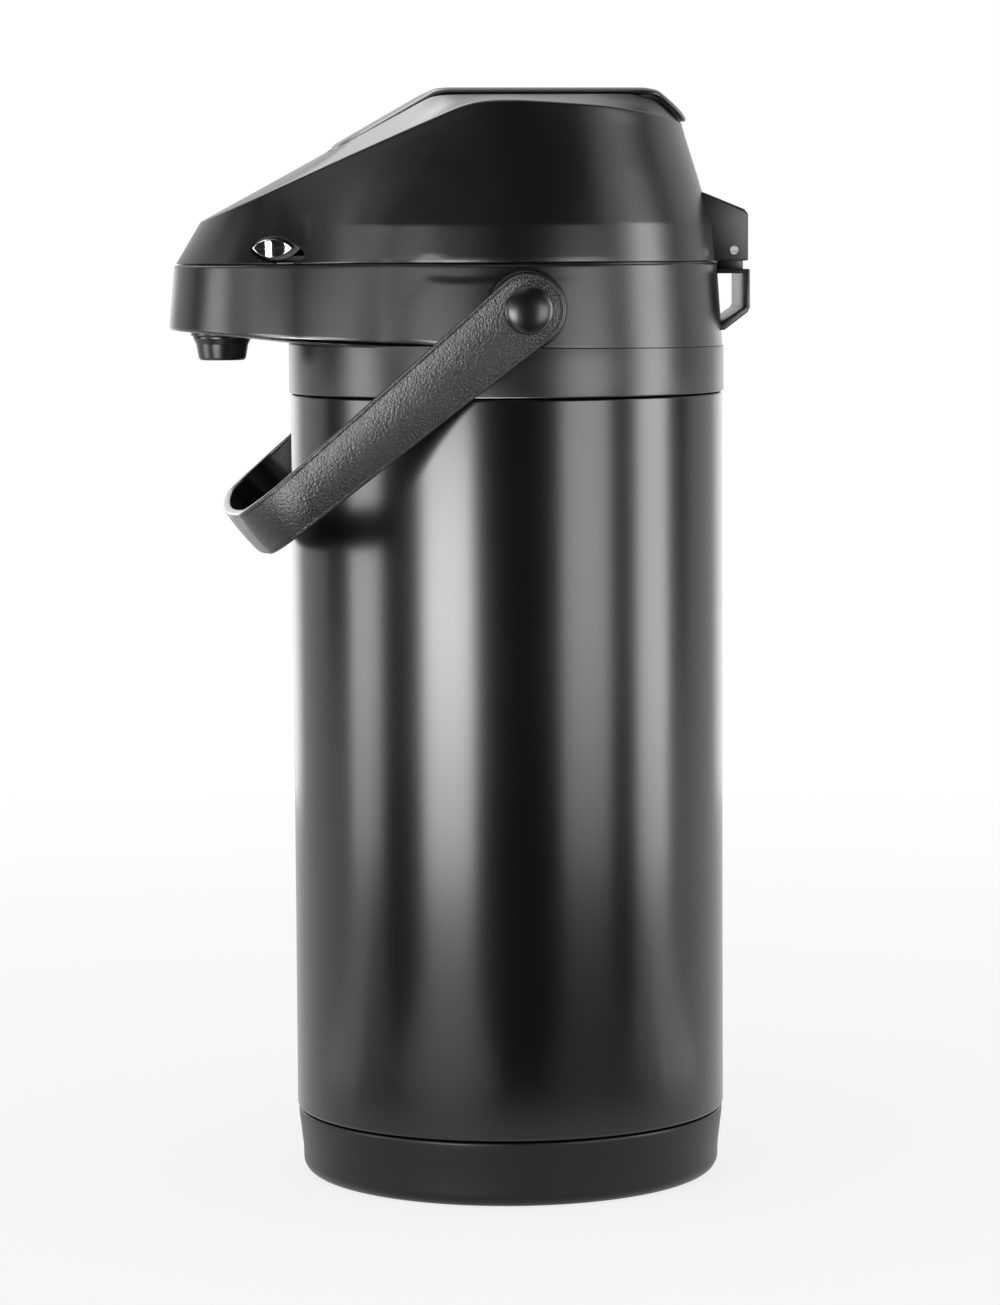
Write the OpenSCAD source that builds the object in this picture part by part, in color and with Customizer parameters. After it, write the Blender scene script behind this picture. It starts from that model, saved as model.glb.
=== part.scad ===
// Pump pot: a vacuum flask with a hinged pump lid, a spout beak and a bail handle.
// Millimetres. Z is up, the beak points to -Y, the lid hinge is at +Y, the base rests on z = 0.

/* [Body] */
// Radius of the painted body shell
body_r = 76; // [70:0.5:82]
// Height of the base cap
base_h = 23.7; // [18:0.1:30]
// Height where the collar starts
collar_z = 277.2; // [240:0.2:300]
// Height of the collar
collar_h = 44.8; // [42:0.2:48]
// Radius of the shell's steel neck
neck_r = 54; // [52:0.2:56]
// Wall of the shell and the liner
steel_t = 0.8; // [0.6:0.1:1.2]

/* [Beak] */
// Distance of the beak's round front from the axis
nose_y = 70.5; // [66:0.5:78]
// Radius of the beak's round front at the bottom
nose_r = 47.9; // [40:0.1:52]
// Radius of the hollow blend between beak and collar
blend_r = 57; // [40:1:80]
// Wall of the collar and the lid
wall = 2.6; // [2:0.1:3.5]
// Distance of the nozzle from the axis
nozzle_y = 100; // [95:0.5:104]

/* [Lid] */
// Radius of the lid's round rear at its upper edge
edge_r = 62; // [58:0.5:66]
// Distance of the lid's upper front arc from the axis
edge_nose_y = 67; // [60:0.5:72]
// Radius of the lid's upper front arc
edge_nose_r = 40; // [34:0.5:46]
// Half width of the opening under the press lever
well_x = 37; // [32:0.2:40]
// Height of the lid's flat top above the collar
lid_h = 58.2; // [54:0.2:64]
// Distance of the hinge pin outside the body
hinge_out = 3; // [2:0.1:4]
// Height of the hinge pin above the collar
hinge_up = 4.3; // [4:0.1:5]

/* [Pump] */
// Distance of the lever pin behind the axis
lever_y = 42; // [40:0.5:44]
// Depth of the lever pin below the lid's flat top
lever_drop = 8.2; // [7.4:0.1:9]
// Gap between the bellows and the wall of the stopper
bellows_gap = 3.6; // [2:0.1:8]
// Free gap between the lever rib and the plunger
plunger_gap = 0.6; // [0.4:0.1:1]

/* [Handle] */
// Height of the handle pivots above the bottom of the collar
pivot_up = 29.8; // [28:0.1:31]
// Angle of the handle below the horizontal
handle_tilt = 39.4; // [0:0.2:44]
// Distance from the pivot to the outside of the cross bar
handle_len = 123.4; // [122:0.1:130]
// Thickness of the handle strap
strap_t = 4; // [3:0.1:5]

/* [Output] */
// Node to show, or all

/* [Hidden] */
$fn = 96;
seam_z = collar_z + collar_h;
top_z = seam_z + lid_h;
hinge_y = body_r + hinge_out;
hinge_z = seam_z + hinge_up;
lever_z = top_z - lever_drop;
pivot_z = collar_z + pivot_up;
foot_r = body_r - 7;
liner_r = body_r - 8.4;
mouth_r = neck_r + 3.5;
neck_z = collar_z + 16.8;
noz_z = collar_z + 20.2;
outlet_a = 11.9;
dip_y = neck_r - 13;
ring_r = body_r + 0.6;
band_r = body_r + 0.2;
lid_z = seam_z + 0.6;
step_r = body_r - 3.4;
lap_r = body_r - 2;
pad_x = body_r + 3;
arm_x = pad_x + 0.5;
pin_r = 4;
btn_turn = 18;
btn_r = nose_r - 2.8;
btn_p = [btn_r * cos(btn_turn), -nose_y - btn_r * sin(btn_turn), seam_z + 6];
n1 = 13;
n2 = 7;
n3 = 17;

// Centre of the hollow blend circle that touches the collar circle and the beak circle
blend_cy = (pow(nose_r + blend_r, 2) - pow(band_r + blend_r, 2) - nose_y * nose_y) / (2 * nose_y);
blend_cx = sqrt(pow(band_r + blend_r, 2) - blend_cy * blend_cy);
blend_a = atan2(-(blend_cy + nose_y), blend_cx);
blend_b = atan2(-blend_cy, blend_cx);

// Half outline from the tip to the rear, inset by d: beak arc, hollow blend, collar arc
function half_low(d) = concat(
  [for (i = [0 : n1]) let (a = 90 - (90 - blend_a) * i / n1)
    [(nose_r - d) * cos(a), -nose_y - (nose_r - d) * sin(a)]],
  [for (i = [1 : n2]) let (a = blend_a + (blend_b - blend_a) * i / n2)
    [blend_cx - (blend_r + d) * cos(a), blend_cy + (blend_r + d) * sin(a)]],
  [for (i = [1 : n3]) let (a = blend_b - (blend_b + 90) * i / n3)
    [(band_r - d) * cos(a), -(band_r - d) * sin(a)]]);

// Half outline of the lid's upper edge: front arc, straight side, rear arc
edge_a = asin((edge_r - edge_nose_r) / edge_nose_y);
function half_edge(d) = concat(
  [for (i = [0 : n1]) let (a = 90 - (90 - edge_a) * i / n1)
    [(edge_nose_r - d) * cos(a), -edge_nose_y - (edge_nose_r - d) * sin(a)]],
  [for (i = [1 : n2]) let (u = i / n2)
    [((edge_nose_r - d) * (1 - u) + (edge_r - d) * u) * cos(edge_a),
     -edge_nose_y * (1 - u) - ((edge_nose_r - d) * (1 - u) + (edge_r - d) * u) * sin(edge_a)]],
  [for (i = [1 : n3]) let (a = edge_a - (edge_a + 90) * i / n3)
    [(edge_r - d) * cos(a), -(edge_r - d) * sin(a)]]);

// Half outline of the opening under the lever: a rectangle with soft corners, grown by -d
well_f = 61.6;
well_b = 48;
well_c = (well_b - well_f) / 2;
well_l = (well_f + well_b) / 2;
function soft(a, d) = pow(pow(abs(cos(a)) / (well_x - d), 8) + pow(abs(sin(a)) / (well_l - d), 8), -1 / 8);
function half_well(d) = [for (q = half_edge(0)) let (a = atan2(q[1] - well_c, q[0]))
  [soft(a, d) * cos(a), well_c + soft(a, d) * sin(a)]];

// Half outline of the rim round the lever: the opening at the front and the sides, a half ellipse at the rear
rim_y = well_b - 10;
rim_l = edge_r - 1.2 - rim_y;
function rear_r(a) = let (k = rim_y - well_c)
  let (m = pow(cos(a) / (well_x - 1.4), 2) + pow(sin(a) / rim_l, 2))
  let (h = sin(a) * k / (rim_l * rim_l))
  let (e = h * h - m * (k * k / (rim_l * rim_l) - 1))
  e > 0 && sin(a) > 0 ? (h + sqrt(e)) / m : 0;
function half_rim() = [for (q = half_edge(0)) let (a = atan2(q[1] - well_c, q[0]))
  let (r = max(soft(a, 0), rear_r(a)))
  [r * cos(a), well_c + r * sin(a)]];

function round_half(r) = concat(
  [for (i = [0 : n1]) let (a = 90 - 50 * i / n1) [r * cos(a), -r * sin(a)]],
  [for (i = [1 : n2]) let (a = 40 - 20 * i / n2) [r * cos(a), -r * sin(a)]],
  [for (i = [1 : n3]) let (a = 20 - 110 * i / n3) [r * cos(a), -r * sin(a)]]);

half_n = n1 + n2 + n3;
full_n = 2 * half_n;
function full(h) = concat(h, [for (i = [half_n - 1 : -1 : 1]) [-h[i][0], h[i][1]]]);
function lift(p, z) = [for (q = p) [q[0], q[1], z]];
function lerp(a, b, u) = a + (b - a) * u;
function mix(p, q, u) = [for (i = [0 : len(p) - 1]) lerp(p[i], q[i], u)];

// Height of the lid's upper edge, of the opening's rim and of the beak's bottom edge, along Y
function edge_z(y) = top_z - lookup(y, [[-107, 43], [-20, 4.4], [-14, 3], [-8, 2.7], [0, 2.8],
  [30, 4.6], [45, 6.6], [58, 9.2], [64, 10.2]]);
function rim_z(y) = top_z - lookup(y, [[-62, 18.6], [-29, 0.8], [-25, 0.1], [-20, 0], [40, 0], [46, 0.8],
  [48, 1.3], [51, 2.1], [61, 9.2]]);
function chin_z(y) = collar_z + lookup(y, [[-120, 22.5], [-100, 21.1], [-89, 20.1], [-57, 18.4], [0, 17],
  [76, 15.8]]);

// Closed skin through a list of rings that have the same number of points
module skin(rings) {
  m = len(rings);
  n = len(rings[0]);
  polyhedron(
    points = [for (r = rings) each r],
    faces = [for (j = [0 : m - 1]) for (i = [0 : n - 1]) for (k = [0, 1])
      let (a = j * n + i)
      let (b = j * n + (i + 1) % n)
      let (c = ((j + 1) % m) * n + (i + 1) % n)
      let (d = ((j + 1) % m) * n + i)
      k == 0 ? [a, c, b] : [a, d, c]],
    convexity = 10);
}

// Pointed oval of the release button, length l and height h
module lens(l, h) {
  r = (l * l / 4 + h * h / 4) / h;
  intersection() {
    translate([0, r - h / 2]) circle(r);
    translate([0, h / 2 - r]) circle(r);
  }
}

// Places children at the release button, their Z axis pointing out of the lid wall
module at_button() {
  translate(btn_p) rotate([0, 0, -btn_turn]) rotate([90, 0, 90]) children();
}

// Body

module base_cap() {
  color([0.07, 0.07, 0.07])
  rotate_extrude() {
    polygon([[0, 0], [7.5, 0], [8.5, 2.5], [foot_r - 12, 2.5], [foot_r - 10, 0], [foot_r, 0], [foot_r + 5, 5],
      [body_r - 0.3, base_h - 0.6], [step_r, base_h - 0.6], [step_r, 8], [foot_r - 5, 8],
        [foot_r - 7, 5.5], [0, 5.5]]);
    intersection() {
      translate([foot_r, 5]) circle(5);
      translate([foot_r - 1, 0]) square([7, 5]);
    }
  }
}

module outer_shell() {
  color([0.1, 0.1, 0.1])
  rotate_extrude() polygon([[step_r, 8], [step_r, base_h - 0.5], [body_r - 0.5, base_h],
    [body_r, base_h + 0.6],
    [body_r, collar_z - 1], [body_r - 0.4, collar_z - 0.5], [lap_r, collar_z - 0.3], [lap_r, collar_z + 5.8],
    [lap_r - 1.5, collar_z + 8.2], [lap_r - 6, collar_z + 10.2], [neck_r + 0.6, collar_z + 12],
    [neck_r, collar_z + 12.8], [neck_r, neck_z], [neck_r - steel_t, neck_z],
      [neck_r - steel_t, collar_z + 12.2],
    [neck_r + 0.2, collar_z + 11.3], [lap_r - 6.3, collar_z + 9.4], [lap_r - 2.1, collar_z + 7.6],
    [lap_r - steel_t, collar_z + 5.6], [lap_r - steel_t, collar_z - 1.1],
    [body_r - steel_t, collar_z - 1.4], [body_r - steel_t, base_h + 1],
    [step_r - steel_t, base_h + 0.3], [step_r - steel_t, 8]]);
}

module shell_bottom() {
  color([0.62, 0.62, 0.62])
  rotate_extrude() polygon([[0, 12], [foot_r - 9, 12], [foot_r - 5, 9], [step_r - steel_t, 9],
    [step_r - steel_t, 14],
    [step_r - 2 * steel_t, 14], [step_r - 2 * steel_t, 9.8], [foot_r - 4.6, 9.8], [foot_r - 8.6, 12.8],
      [0, 12.8]]);
}

module inner_liner() {
  color([0.72, 0.72, 0.72])
  rotate_extrude() polygon([[0, 34], [liner_r - 15.6, 34], [liner_r - 5.6, 38], [liner_r, 47],
    [liner_r, collar_z - 9.2], [liner_r - 2.2, collar_z - 1.2], [neck_r + 6, collar_z + 4.3],
    [neck_r, collar_z + 7.2], [neck_r - steel_t, collar_z + 8.8], [neck_r - steel_t, neck_z],
    [neck_r - 2 * steel_t, neck_z], [neck_r - 2 * steel_t, collar_z + 8.3], [neck_r - 0.6, collar_z + 6.7],
    [neck_r + 5.4, collar_z + 3.7], [liner_r - 2.8, collar_z - 1.6], [liner_r - 0.8, collar_z - 9.2],
    [liner_r - 0.8, 47.2], [liner_r - 6.2, 38.6], [liner_r - 15.8, 34.8], [0, 34.8]]);
}

module collar_skin() {
  low = full(half_low(0));
  top = full(half_low(1.85));
  inner = full(half_low(wall));
  inner_top = full(half_low(1.85 + wall));
  rnd = full(round_half(1));
  skin([
    lift(ring_r * rnd, collar_z),
    lift(ring_r * rnd, collar_z + 13.2),
    lift((ring_r - 0.2) * rnd, collar_z + 13.6),
    [for (q = rnd) [band_r * q[0], band_r * q[1], chin_z(band_r * q[1])
      - (q[1] < 0 ? 0.6 + 0.6 * q[1] : 0.6) - 0.5]],
    [for (q = full(half_low(1))) [q[0], q[1], chin_z(q[1])]],
    [for (q = full(half_low(0.2))) [q[0], q[1], chin_z(q[1]) + 0.5]],
    [for (q = low) [q[0], q[1], chin_z(q[1]) + 1.6]],
    lift(top, seam_z - 0.6),
    lift(full(half_low(2.4)), seam_z),
    lift((mouth_r - 0.3) * rnd, seam_z),
    lift((mouth_r - 0.3) * rnd, neck_z - 2),
    lift((mouth_r + 2.1) * rnd, neck_z - 2),
    lift((mouth_r + 2.1) * rnd, seam_z - 2.4),
    lift(inner_top, seam_z - 2.4),
    [for (q = inner) [q[0], q[1], chin_z(q[1]) + 3.6]],
    [for (q = (lap_r - 0.8) * rnd) [q[0], q[1], chin_z(q[1]) + 2.2]],
    lift((lap_r - 0.8) * rnd, collar_z + 10.8),
    lift((lap_r - 0.4) * rnd, collar_z + 6.8),
    lift((lap_r - 0.4) * rnd, collar_z)]);
}

// Loop strap behind the collar, with the knuckle of the lid hinge
module loop_strap() {
  translate([0, hinge_y, seam_z]) rotate([90, 0, 90]) {
    translate([0, 0, -15.5]) linear_extrude(31) difference() {
      polygon([[-7.5, -2.3], [5.6, -2.3], [5.6, -15.8], [4.8, -17.4], [-3.4, -23.6], [-6, -23.6], [-6, -19]]);
      polygon([[-19, -3.8], [3.4, -3.8], [3.4, -15], [2.8, -16], [-5, -21.2], [-19, -21.2]]);
    }
    translate([0, 0, -7.6]) linear_extrude(15.2) {
      polygon([[-4.3, -3], [4.3, -3], [4.3, hinge_up], [-4.3, hinge_up]]);
      translate([0, hinge_up]) circle(4.3);
    }
  }
}

// Sloping bore or tube of radius r from the mouth to the nozzle, made longer at its lower end by l
module outlet_run(r, l) {
  translate([0, -dip_y - 5, neck_z + 5]) rotate([90 - outlet_a, 0, 0])
    translate([0, 0, -l]) cylinder(h = (nozzle_y - dip_y - 5) / cos(outlet_a) + l, r = r);
}

module collar() {
  color([0.06, 0.06, 0.06])
  difference() {
    union() {
      collar_skin();
      loop_strap();
      for (s = [-1, 1]) translate([s * (body_r - 5), 0, pivot_z]) rotate([0, s * 90, 0])
        cylinder(h = 8, r = 12.4);
      translate([0, -nozzle_y, noz_z]) cylinder(h = 6, r = 11);
    }
    for (s = [-1, 1]) translate([s * (body_r - 10), 0, pivot_z]) rotate([0, s * 90, 0])
      cylinder(h = 20, r = pin_r);
    translate([0, -nozzle_y, noz_z - 7]) cylinder(h = 15.6, r = 7);
    outlet_run(4.6, 0);
    translate([-20, hinge_y, hinge_z]) rotate([0, 90, 0]) cylinder(h = 40, r = 1.55);
    translate([0, 0, neck_z - 4]) cylinder(h = 40, r = mouth_r);
    translate([0, 0, collar_z - 7]) cylinder(h = 15.5, r = lap_r);
  }
}

module mouth_gasket() {
  color([0.75, 0.75, 0.72])
  rotate_extrude() translate([neck_r - 2.4, neck_z]) square([3.2, 2]);
}

module mouth_insert() {
  color([0.09, 0.09, 0.09])
  difference() {
    union() {
      rotate_extrude() polygon([[neck_r - 2.8, neck_z + 2], [mouth_r, neck_z + 2], [mouth_r, seam_z - 0.6],
        [mouth_r - 2.5, seam_z - 0.6], [mouth_r - 4.5, seam_z - 10], [neck_r - 2.8, seam_z - 17]]);
      translate([0, -dip_y, neck_z - 5]) cylinder(h = 13, r = 6.6);
      translate([-6, -dip_y - 14, neck_z + 2]) cube([12, 14, 6]);
    }
    translate([0, -dip_y, neck_z - 9]) cylinder(h = 11, r = 4.5);
    translate([0, -dip_y, neck_z - 4]) cylinder(h = 10.4, r = 3.2);
    outlet_run(4, 0);
    outlet_run(2.8, 7.1);
  }
}

module dip_tube() {
  color([0.85, 0.85, 0.82])
  translate([0, -dip_y, 0]) difference() {
    translate([0, 0, 38]) cylinder(h = neck_z - 36, r = 4.5);
    translate([0, 0, 36]) cylinder(h = neck_z - 32, r = 3.3);
    translate([-6, 0, 36]) cube([12, 8, 6]);
  }
}

module outlet_pipe() {
  color([0.8, 0.8, 0.78])
  difference() {
    union() {
      outlet_run(4, 0);
      translate([0, -nozzle_y, noz_z + 2.2]) cylinder(h = 16.4, r = 4.6);
    }
    outlet_run(2.8, 2);
    translate([0, -nozzle_y, noz_z + 0.6]) cylinder(h = 15.8, r = 3.2);
  }
}

module spout_nozzle() {
  color([0.06, 0.06, 0.06])
  translate([0, -nozzle_y, noz_z]) difference() {
    union() {
      rotate_extrude() polygon([[0, -8.4], [7.6, -8.4], [8.3, -7.7], [9.2, -2.8], [10.2, -0.8],
        [10.2, 0], [0, 0]]);
      translate([0, 0, -0.4]) cylinder(h = 6.4, r = 7);
    }
    translate([0, 0, 2.2]) cylinder(h = 6, r = 4.6);
    translate([0, 0, -5.4]) cylinder(h = 9, r = 3.2);
    translate([0, 0, -9.4]) cylinder(h = 5, r = 6.6);
  }
}

module pivot_pin() {
  rotate([0, 90, 0]) {
    translate([0, 0, body_r - 7]) cylinder(h = 12 + strap_t, r = pin_r);
    intersection() {
      translate([0, 0, arm_x + strap_t + 0.4]) cylinder(h = 4, r = 7.7);
      translate([0, 0, arm_x + strap_t + 3.4 - 11.3]) sphere(11.3);
    }
  }
}

module pivot_pin_right() {
  color([0.12, 0.12, 0.12]) translate([0, 0, pivot_z]) pivot_pin();
}

module pivot_pin_left() {
  color([0.12, 0.12, 0.12]) translate([0, 0, pivot_z]) mirror([1, 0, 0]) pivot_pin();
}

// Half outline of the strap bent to a U: half width x, length l, corner radius r
function strap_half(x, l, r) = concat([[x, -20]],
  [for (i = [0 : 12]) let (a = 90 * i / 12) [x - r + r * cos(a), l - r + r * sin(a)]]);
function back(p) = [for (i = [len(p) - 1 : -1 : 0]) p[i]];
function swap(p) = [for (q = p) [-q[0], q[1]]];
strap_out = strap_half(arm_x + strap_t, handle_len, 15);
strap_in = strap_half(arm_x, handle_len - strap_t, 11);

module handle() {
  color([0.07, 0.07, 0.07])
  translate([0, 0, pivot_z]) rotate([handle_tilt, 0, 0]) mirror([0, 1, 0])
  difference() {
    intersection() {
      translate([0, 0, -15]) linear_extrude(30)
        polygon(concat(strap_out, back(swap(strap_out)), swap(strap_in), back(strap_in)));
      translate([-100, 0, 0]) rotate([90, 0, 90]) linear_extrude(200) polygon(concat(
        [for (i = [0 : 36]) [12.25 * cos(89 + 182 * i / 36), 12.25 * sin(89 + 182 * i / 36)]],
        [[handle_len - 16.9, -9.6], [handle_len + 5, -9.6], [handle_len + 5, 9.6],
          [handle_len - 16.9, 9.6]]));
    }
    translate([-100, 0, 0]) rotate([0, 90, 0]) cylinder(h = 200, r = pin_r + 0.05);
  }
}

module hinge_pin() {
  color([0.75, 0.75, 0.76])
  translate([-15.6, hinge_y, hinge_z]) rotate([0, 90, 0]) cylinder(h = 31.2, r = 1.5);
}

// Lid

function full3(h) = concat(h, [for (i = [half_n - 1 : -1 : 1]) [-h[i][0], h[i][1], h[i][2]]]);
function lid_wall(t, f, d) = let (a = half_low(2.6 + d)) let (b = half_edge(d))
  full3([for (i = [0 : half_n]) let (p = lerp(a[i], b[i], f))
    [p[0], p[1], lerp(lid_z, edge_z(b[i][1]), t)]]);
function well_ring(d, dz) = full3([for (q = half_well(d)) [q[0], q[1], rim_z(q[1]) + dz]]);
function deck_ring(u, dz) = let (a = half_edge(0)) let (b = half_well(0))
  full3([for (i = [0 : half_n]) let (p = lerp(a[i], b[i], u))
    [p[0], p[1], lerp(edge_z(a[i][1]), rim_z(b[i][1]), u) + dz]]);
function rim_ring(u, dz) = let (a = half_edge(0)) let (b = half_rim())
  full3([for (i = [0 : half_n]) let (p = lerp(a[i], b[i], u))
    [p[0], p[1], lerp(edge_z(a[i][1]), rim_z(b[i][1]), u) + dz]]);

module lid_skin() {
  skin([
    lid_wall(0, 0.02, 0),
    lid_wall(0.03, 0, 0),
    lid_wall(0.24, 0.1, 0),
    lid_wall(0.6, 0.52, 0),
    lid_wall(0.9, 0.89, 0),
    lid_wall(0.97, 0.97, 0),
    rim_ring(0.05, -0.2),
    rim_ring(0.12, 0),
    rim_ring(0.97, 0),
    well_ring(0.0, -0.6),
    well_ring(0.0, -12),
    well_ring(-2.2, -12),
    well_ring(-2.2, -3.4),
    deck_ring(0.3, -3.2),
    lid_wall(0.84, 0.86, wall),
    lid_wall(0.6, 0.52, wall),
    lid_wall(0.24, 0.1, wall),
    lid_wall(0.0, 0.0, wall)]);
}

bel_b = seam_z - 14.6;
bel_t = top_z - 28.2;
bel_n = 6;
bel_h = (bel_t - bel_b - 2.4) / bel_n;
stop_r = mouth_r - 11.1;
bellows_r = stop_r - 3.8 - bellows_gap;
spring_r = bellows_r - 21;
valve_y = bellows_r - 15;
boss_r = 0.47 * edge_r + 0.53 * body_r - 7.4;
boss_p = [[42, -60, lid_z + 27.4], [boss_r * cos(35.5), boss_r * sin(35.5), lid_z + 29.4]];

module lid_cover() {
  color([0.06, 0.06, 0.06])
  difference() {
    union() {
      lid_skin();
      difference() {
        translate([-15.5, 0, 0]) rotate([90, 0, 90]) linear_extrude(31)
          polygon([[hinge_y - 12.5, hinge_z + 20.7], [hinge_y - 10, hinge_z + 19.9],
            [hinge_y + 3.6, hinge_z + 14.3],
            [hinge_y + 5, hinge_z + 12.7], [hinge_y + 5, lid_z], [hinge_y - 7.5, lid_z]]);
        translate([-8, hinge_y - 8.4, hinge_z - 11.3]) cube([16, 20, 17.3]);
      }
      for (b = boss_p) for (s = [-1, 1]) translate([s * b[0], b[1], lid_z + 2.7])
        cylinder(h = b[2] - lid_z - 2.7, r = 4);
    }
    for (b = boss_p) for (s = [-1, 1]) translate([s * b[0], b[1], lid_z]) cylinder(h = 16, r = 1.5);
    translate([-20, hinge_y, hinge_z]) rotate([0, 90, 0]) cylinder(h = 40, r = 1.5);
    translate([-36.6, lever_y, lever_z]) rotate([0, 90, 0]) cylinder(h = 73.2, r = 2);
    for (s = [0, 1]) mirror([s, 0, 0]) at_button() translate([0, 0, -8]) linear_extrude(14) lens(15.2, 7.4);
  }
}

module lid_tray() {
  color([0.09, 0.09, 0.09])
  difference() {
    translate([0, 0, lid_z + 0.3]) linear_extrude(2.4) polygon(full(half_low(2.6 + wall + 1.05)));
    translate([0, 0, lid_z - 1]) cylinder(h = 6, r = stop_r + 1.05);
    for (s = [0, 1]) mirror([s, 0, 0]) at_button() translate([-10.5, -6, -10.5]) cube([21, 12, 14]);
    for (b = boss_p) for (s = [-1, 1]) translate([s * b[0], b[1], 0]) {
      translate([0, 0, lid_z - 1]) cylinder(h = 6, r = 1.5);
      translate([0, 0, lid_z - 1]) cylinder(h = 2.7, r = 3);
    }
  }
}

module lid_screws() {
  color([0.7, 0.7, 0.7])
  for (b = boss_p) for (s = [-1, 1]) translate([s * b[0], b[1], lid_z]) {
    translate([0, 0, 0.4]) cylinder(h = 1.3, r = 3);
    translate([0, 0, 1]) cylinder(h = 14, r = 1.5);
  }
}

module stopper() {
  color([0.85, 0.85, 0.82])
  difference() {
    rotate_extrude() polygon([[0, bel_b - 2.4], [stop_r - 2.4, bel_b - 2.4], [stop_r - 1.4, bel_b - 1.4],
      [stop_r, lid_z + 0.3], [stop_r + 1, lid_z + 0.3], [stop_r + 1, lid_z + 2.7],
        [stop_r + 8.6, lid_z + 2.7],
      [stop_r + 8.6, lid_z + 4.9], [stop_r - 1.8, lid_z + 4.9], [stop_r - 3.8, bel_b], [0, bel_b]]);
    translate([0, 0, bel_b - 7.4]) cylinder(h = 10, r = 2);
    for (a = [0 : 60 : 300]) rotate([0, 0, a]) translate([5, 0, bel_b - 7.4]) cylinder(h = 10, r = 1.2);
  }
}

module stopper_seal() {
  color([0.75, 0.75, 0.72])
  rotate_extrude() polygon([[stop_r, lid_z + 0.3], [stop_r - 0.3, lid_z - 5], [stop_r + 3.6, lid_z - 7],
    [stop_r + 4.2, lid_z - 6.4], [stop_r + 4.2, lid_z - 5], [stop_r + 1.6, lid_z - 3],
      [stop_r + 1.6, lid_z + 0.3]]);
}

module check_valve() {
  color([0.75, 0.75, 0.72])
  translate([0, 0, bel_b]) rotate_extrude() polygon([[0, -4.8], [3, -4.5], [8, -3.4], [8, -2.4],
    [2, -2.4], [2, 0],
    [2.8, 0], [1.4, 2.2], [0, 2.2]]);
}

module bellows() {
  color([0.82, 0.82, 0.8])
  rotate_extrude() polygon(concat(
    [[bellows_r - 10, bel_b], [bellows_r, bel_b], [bellows_r, bel_b + 1.2]],
    [for (i = [0 : bel_n - 1]) each [[bellows_r - 7, bel_b + 1.2 + bel_h * (i + 0.5)],
      [bellows_r, bel_b + 1.2 + bel_h * (i + 1)]]],
    [[bellows_r, bel_t], [bellows_r - 10, bel_t], [bellows_r - 10, bel_t - 1.2]],
    [[bellows_r - 1.4, bel_t - 1.2]],
    [for (i = [bel_n - 1 : -1 : 0]) each [[bellows_r - 8.4, bel_b + 1.2 + bel_h * (i + 0.5)],
      [bellows_r - 1.4, bel_b + 1.2 + bel_h * i]]],
    [[bellows_r - 10, bel_b + 1.2]]));
}

// Wire of radius w wound to radius r, from z0 to z1, with flat end turns
module coil(r, w, z0, z1, turns) {
  s = 14;
  k = 6;
  m = round(turns * s);
  function rise(u) = let (v = u * turns) v < 1 ? 0 : v > turns - 1 ? 1 : (v - 1) / (turns - 2);
  function low(u) = let (v = u * turns) min(v, 1) * 2 * w + max(v - turns + 1, 0) * 2 * w;
  span = z1 - z0 - 6 * w;
  polyhedron(
    points = [for (i = [0 : m]) let (u = i / m) let (a = 360 * turns * u) for (j = [0 : k - 1])
      let (b = 360 * j / k)
      [(r + w * cos(b)) * cos(a), (r + w * cos(b)) * sin(a), z0 + w + low(u) + span * rise(u) + w * sin(b)]],
    faces = concat(
      [[for (j = [0 : k - 1]) j]],
      [[for (j = [k - 1 : -1 : 0]) m * k + j]],
      [for (i = [0 : m - 1]) for (j = [0 : k - 1])
        [i * k + j, (i + 1) * k + j, (i + 1) * k + (j + 1) % k]],
      [for (i = [0 : m - 1]) for (j = [0 : k - 1])
        [i * k + j, (i + 1) * k + (j + 1) % k, i * k + (j + 1) % k]]),
    convexity = 10);
}

module return_spring() {
  color([0.7, 0.7, 0.7])
  coil(spring_r, 0.9, bel_b, bel_t, 7);
}

plunger_top = lever_z + 2;
plate_x = 35.2;

module plunger() {
  color([0.85, 0.85, 0.82])
  difference() {
    union() {
      translate([0, 0, bel_t]) cylinder(h = 2.6, r = bellows_r - 6);
      translate([0, 0, bel_t + 2]) cylinder(h = plunger_top - bel_t - 6, r = 8);
      intersection() {
        translate([0, 0, plunger_top - 10]) sphere(10);
        translate([0, 0, plunger_top - 7]) cylinder(h = 8, r = 8);
      }
    }
    for (a = [45 : 90 : 315]) rotate([0, 0, a]) translate([spring_r - 4, 0, bel_t - 1])
      cylinder(h = 5, r = 2);
    translate([0, -valve_y, bel_t - 1]) cylinder(h = 5, r = 1.5);
  }
}

module intake_valve() {
  color([0.75, 0.75, 0.72])
  translate([0, -valve_y, bel_t]) rotate_extrude() polygon([[0, -2.4], [4.2, -1], [4.2, 0], [1.5, 0],
    [1.5, 2.6],
    [2.4, 2.6], [1, 4.4], [0, 4.4]]);
}

module plate_side() {
  translate([0, top_z]) polygon([[-60, -17], [-58.4, -15.6], [-28.4, 1.4], [-26, 2.2], [-23, 2.5], [46, 2.3],
    [49.5, 1.9], [52, 0.6], [63.6, -7.6], [63.2, -8.6], [62.2, -8.9], [51, -1],
    [48.6, -0.1], [-23.4, 0], [-27.4, -1], [-58, -18.4], [-59.4, -18.4]]);
}

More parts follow.
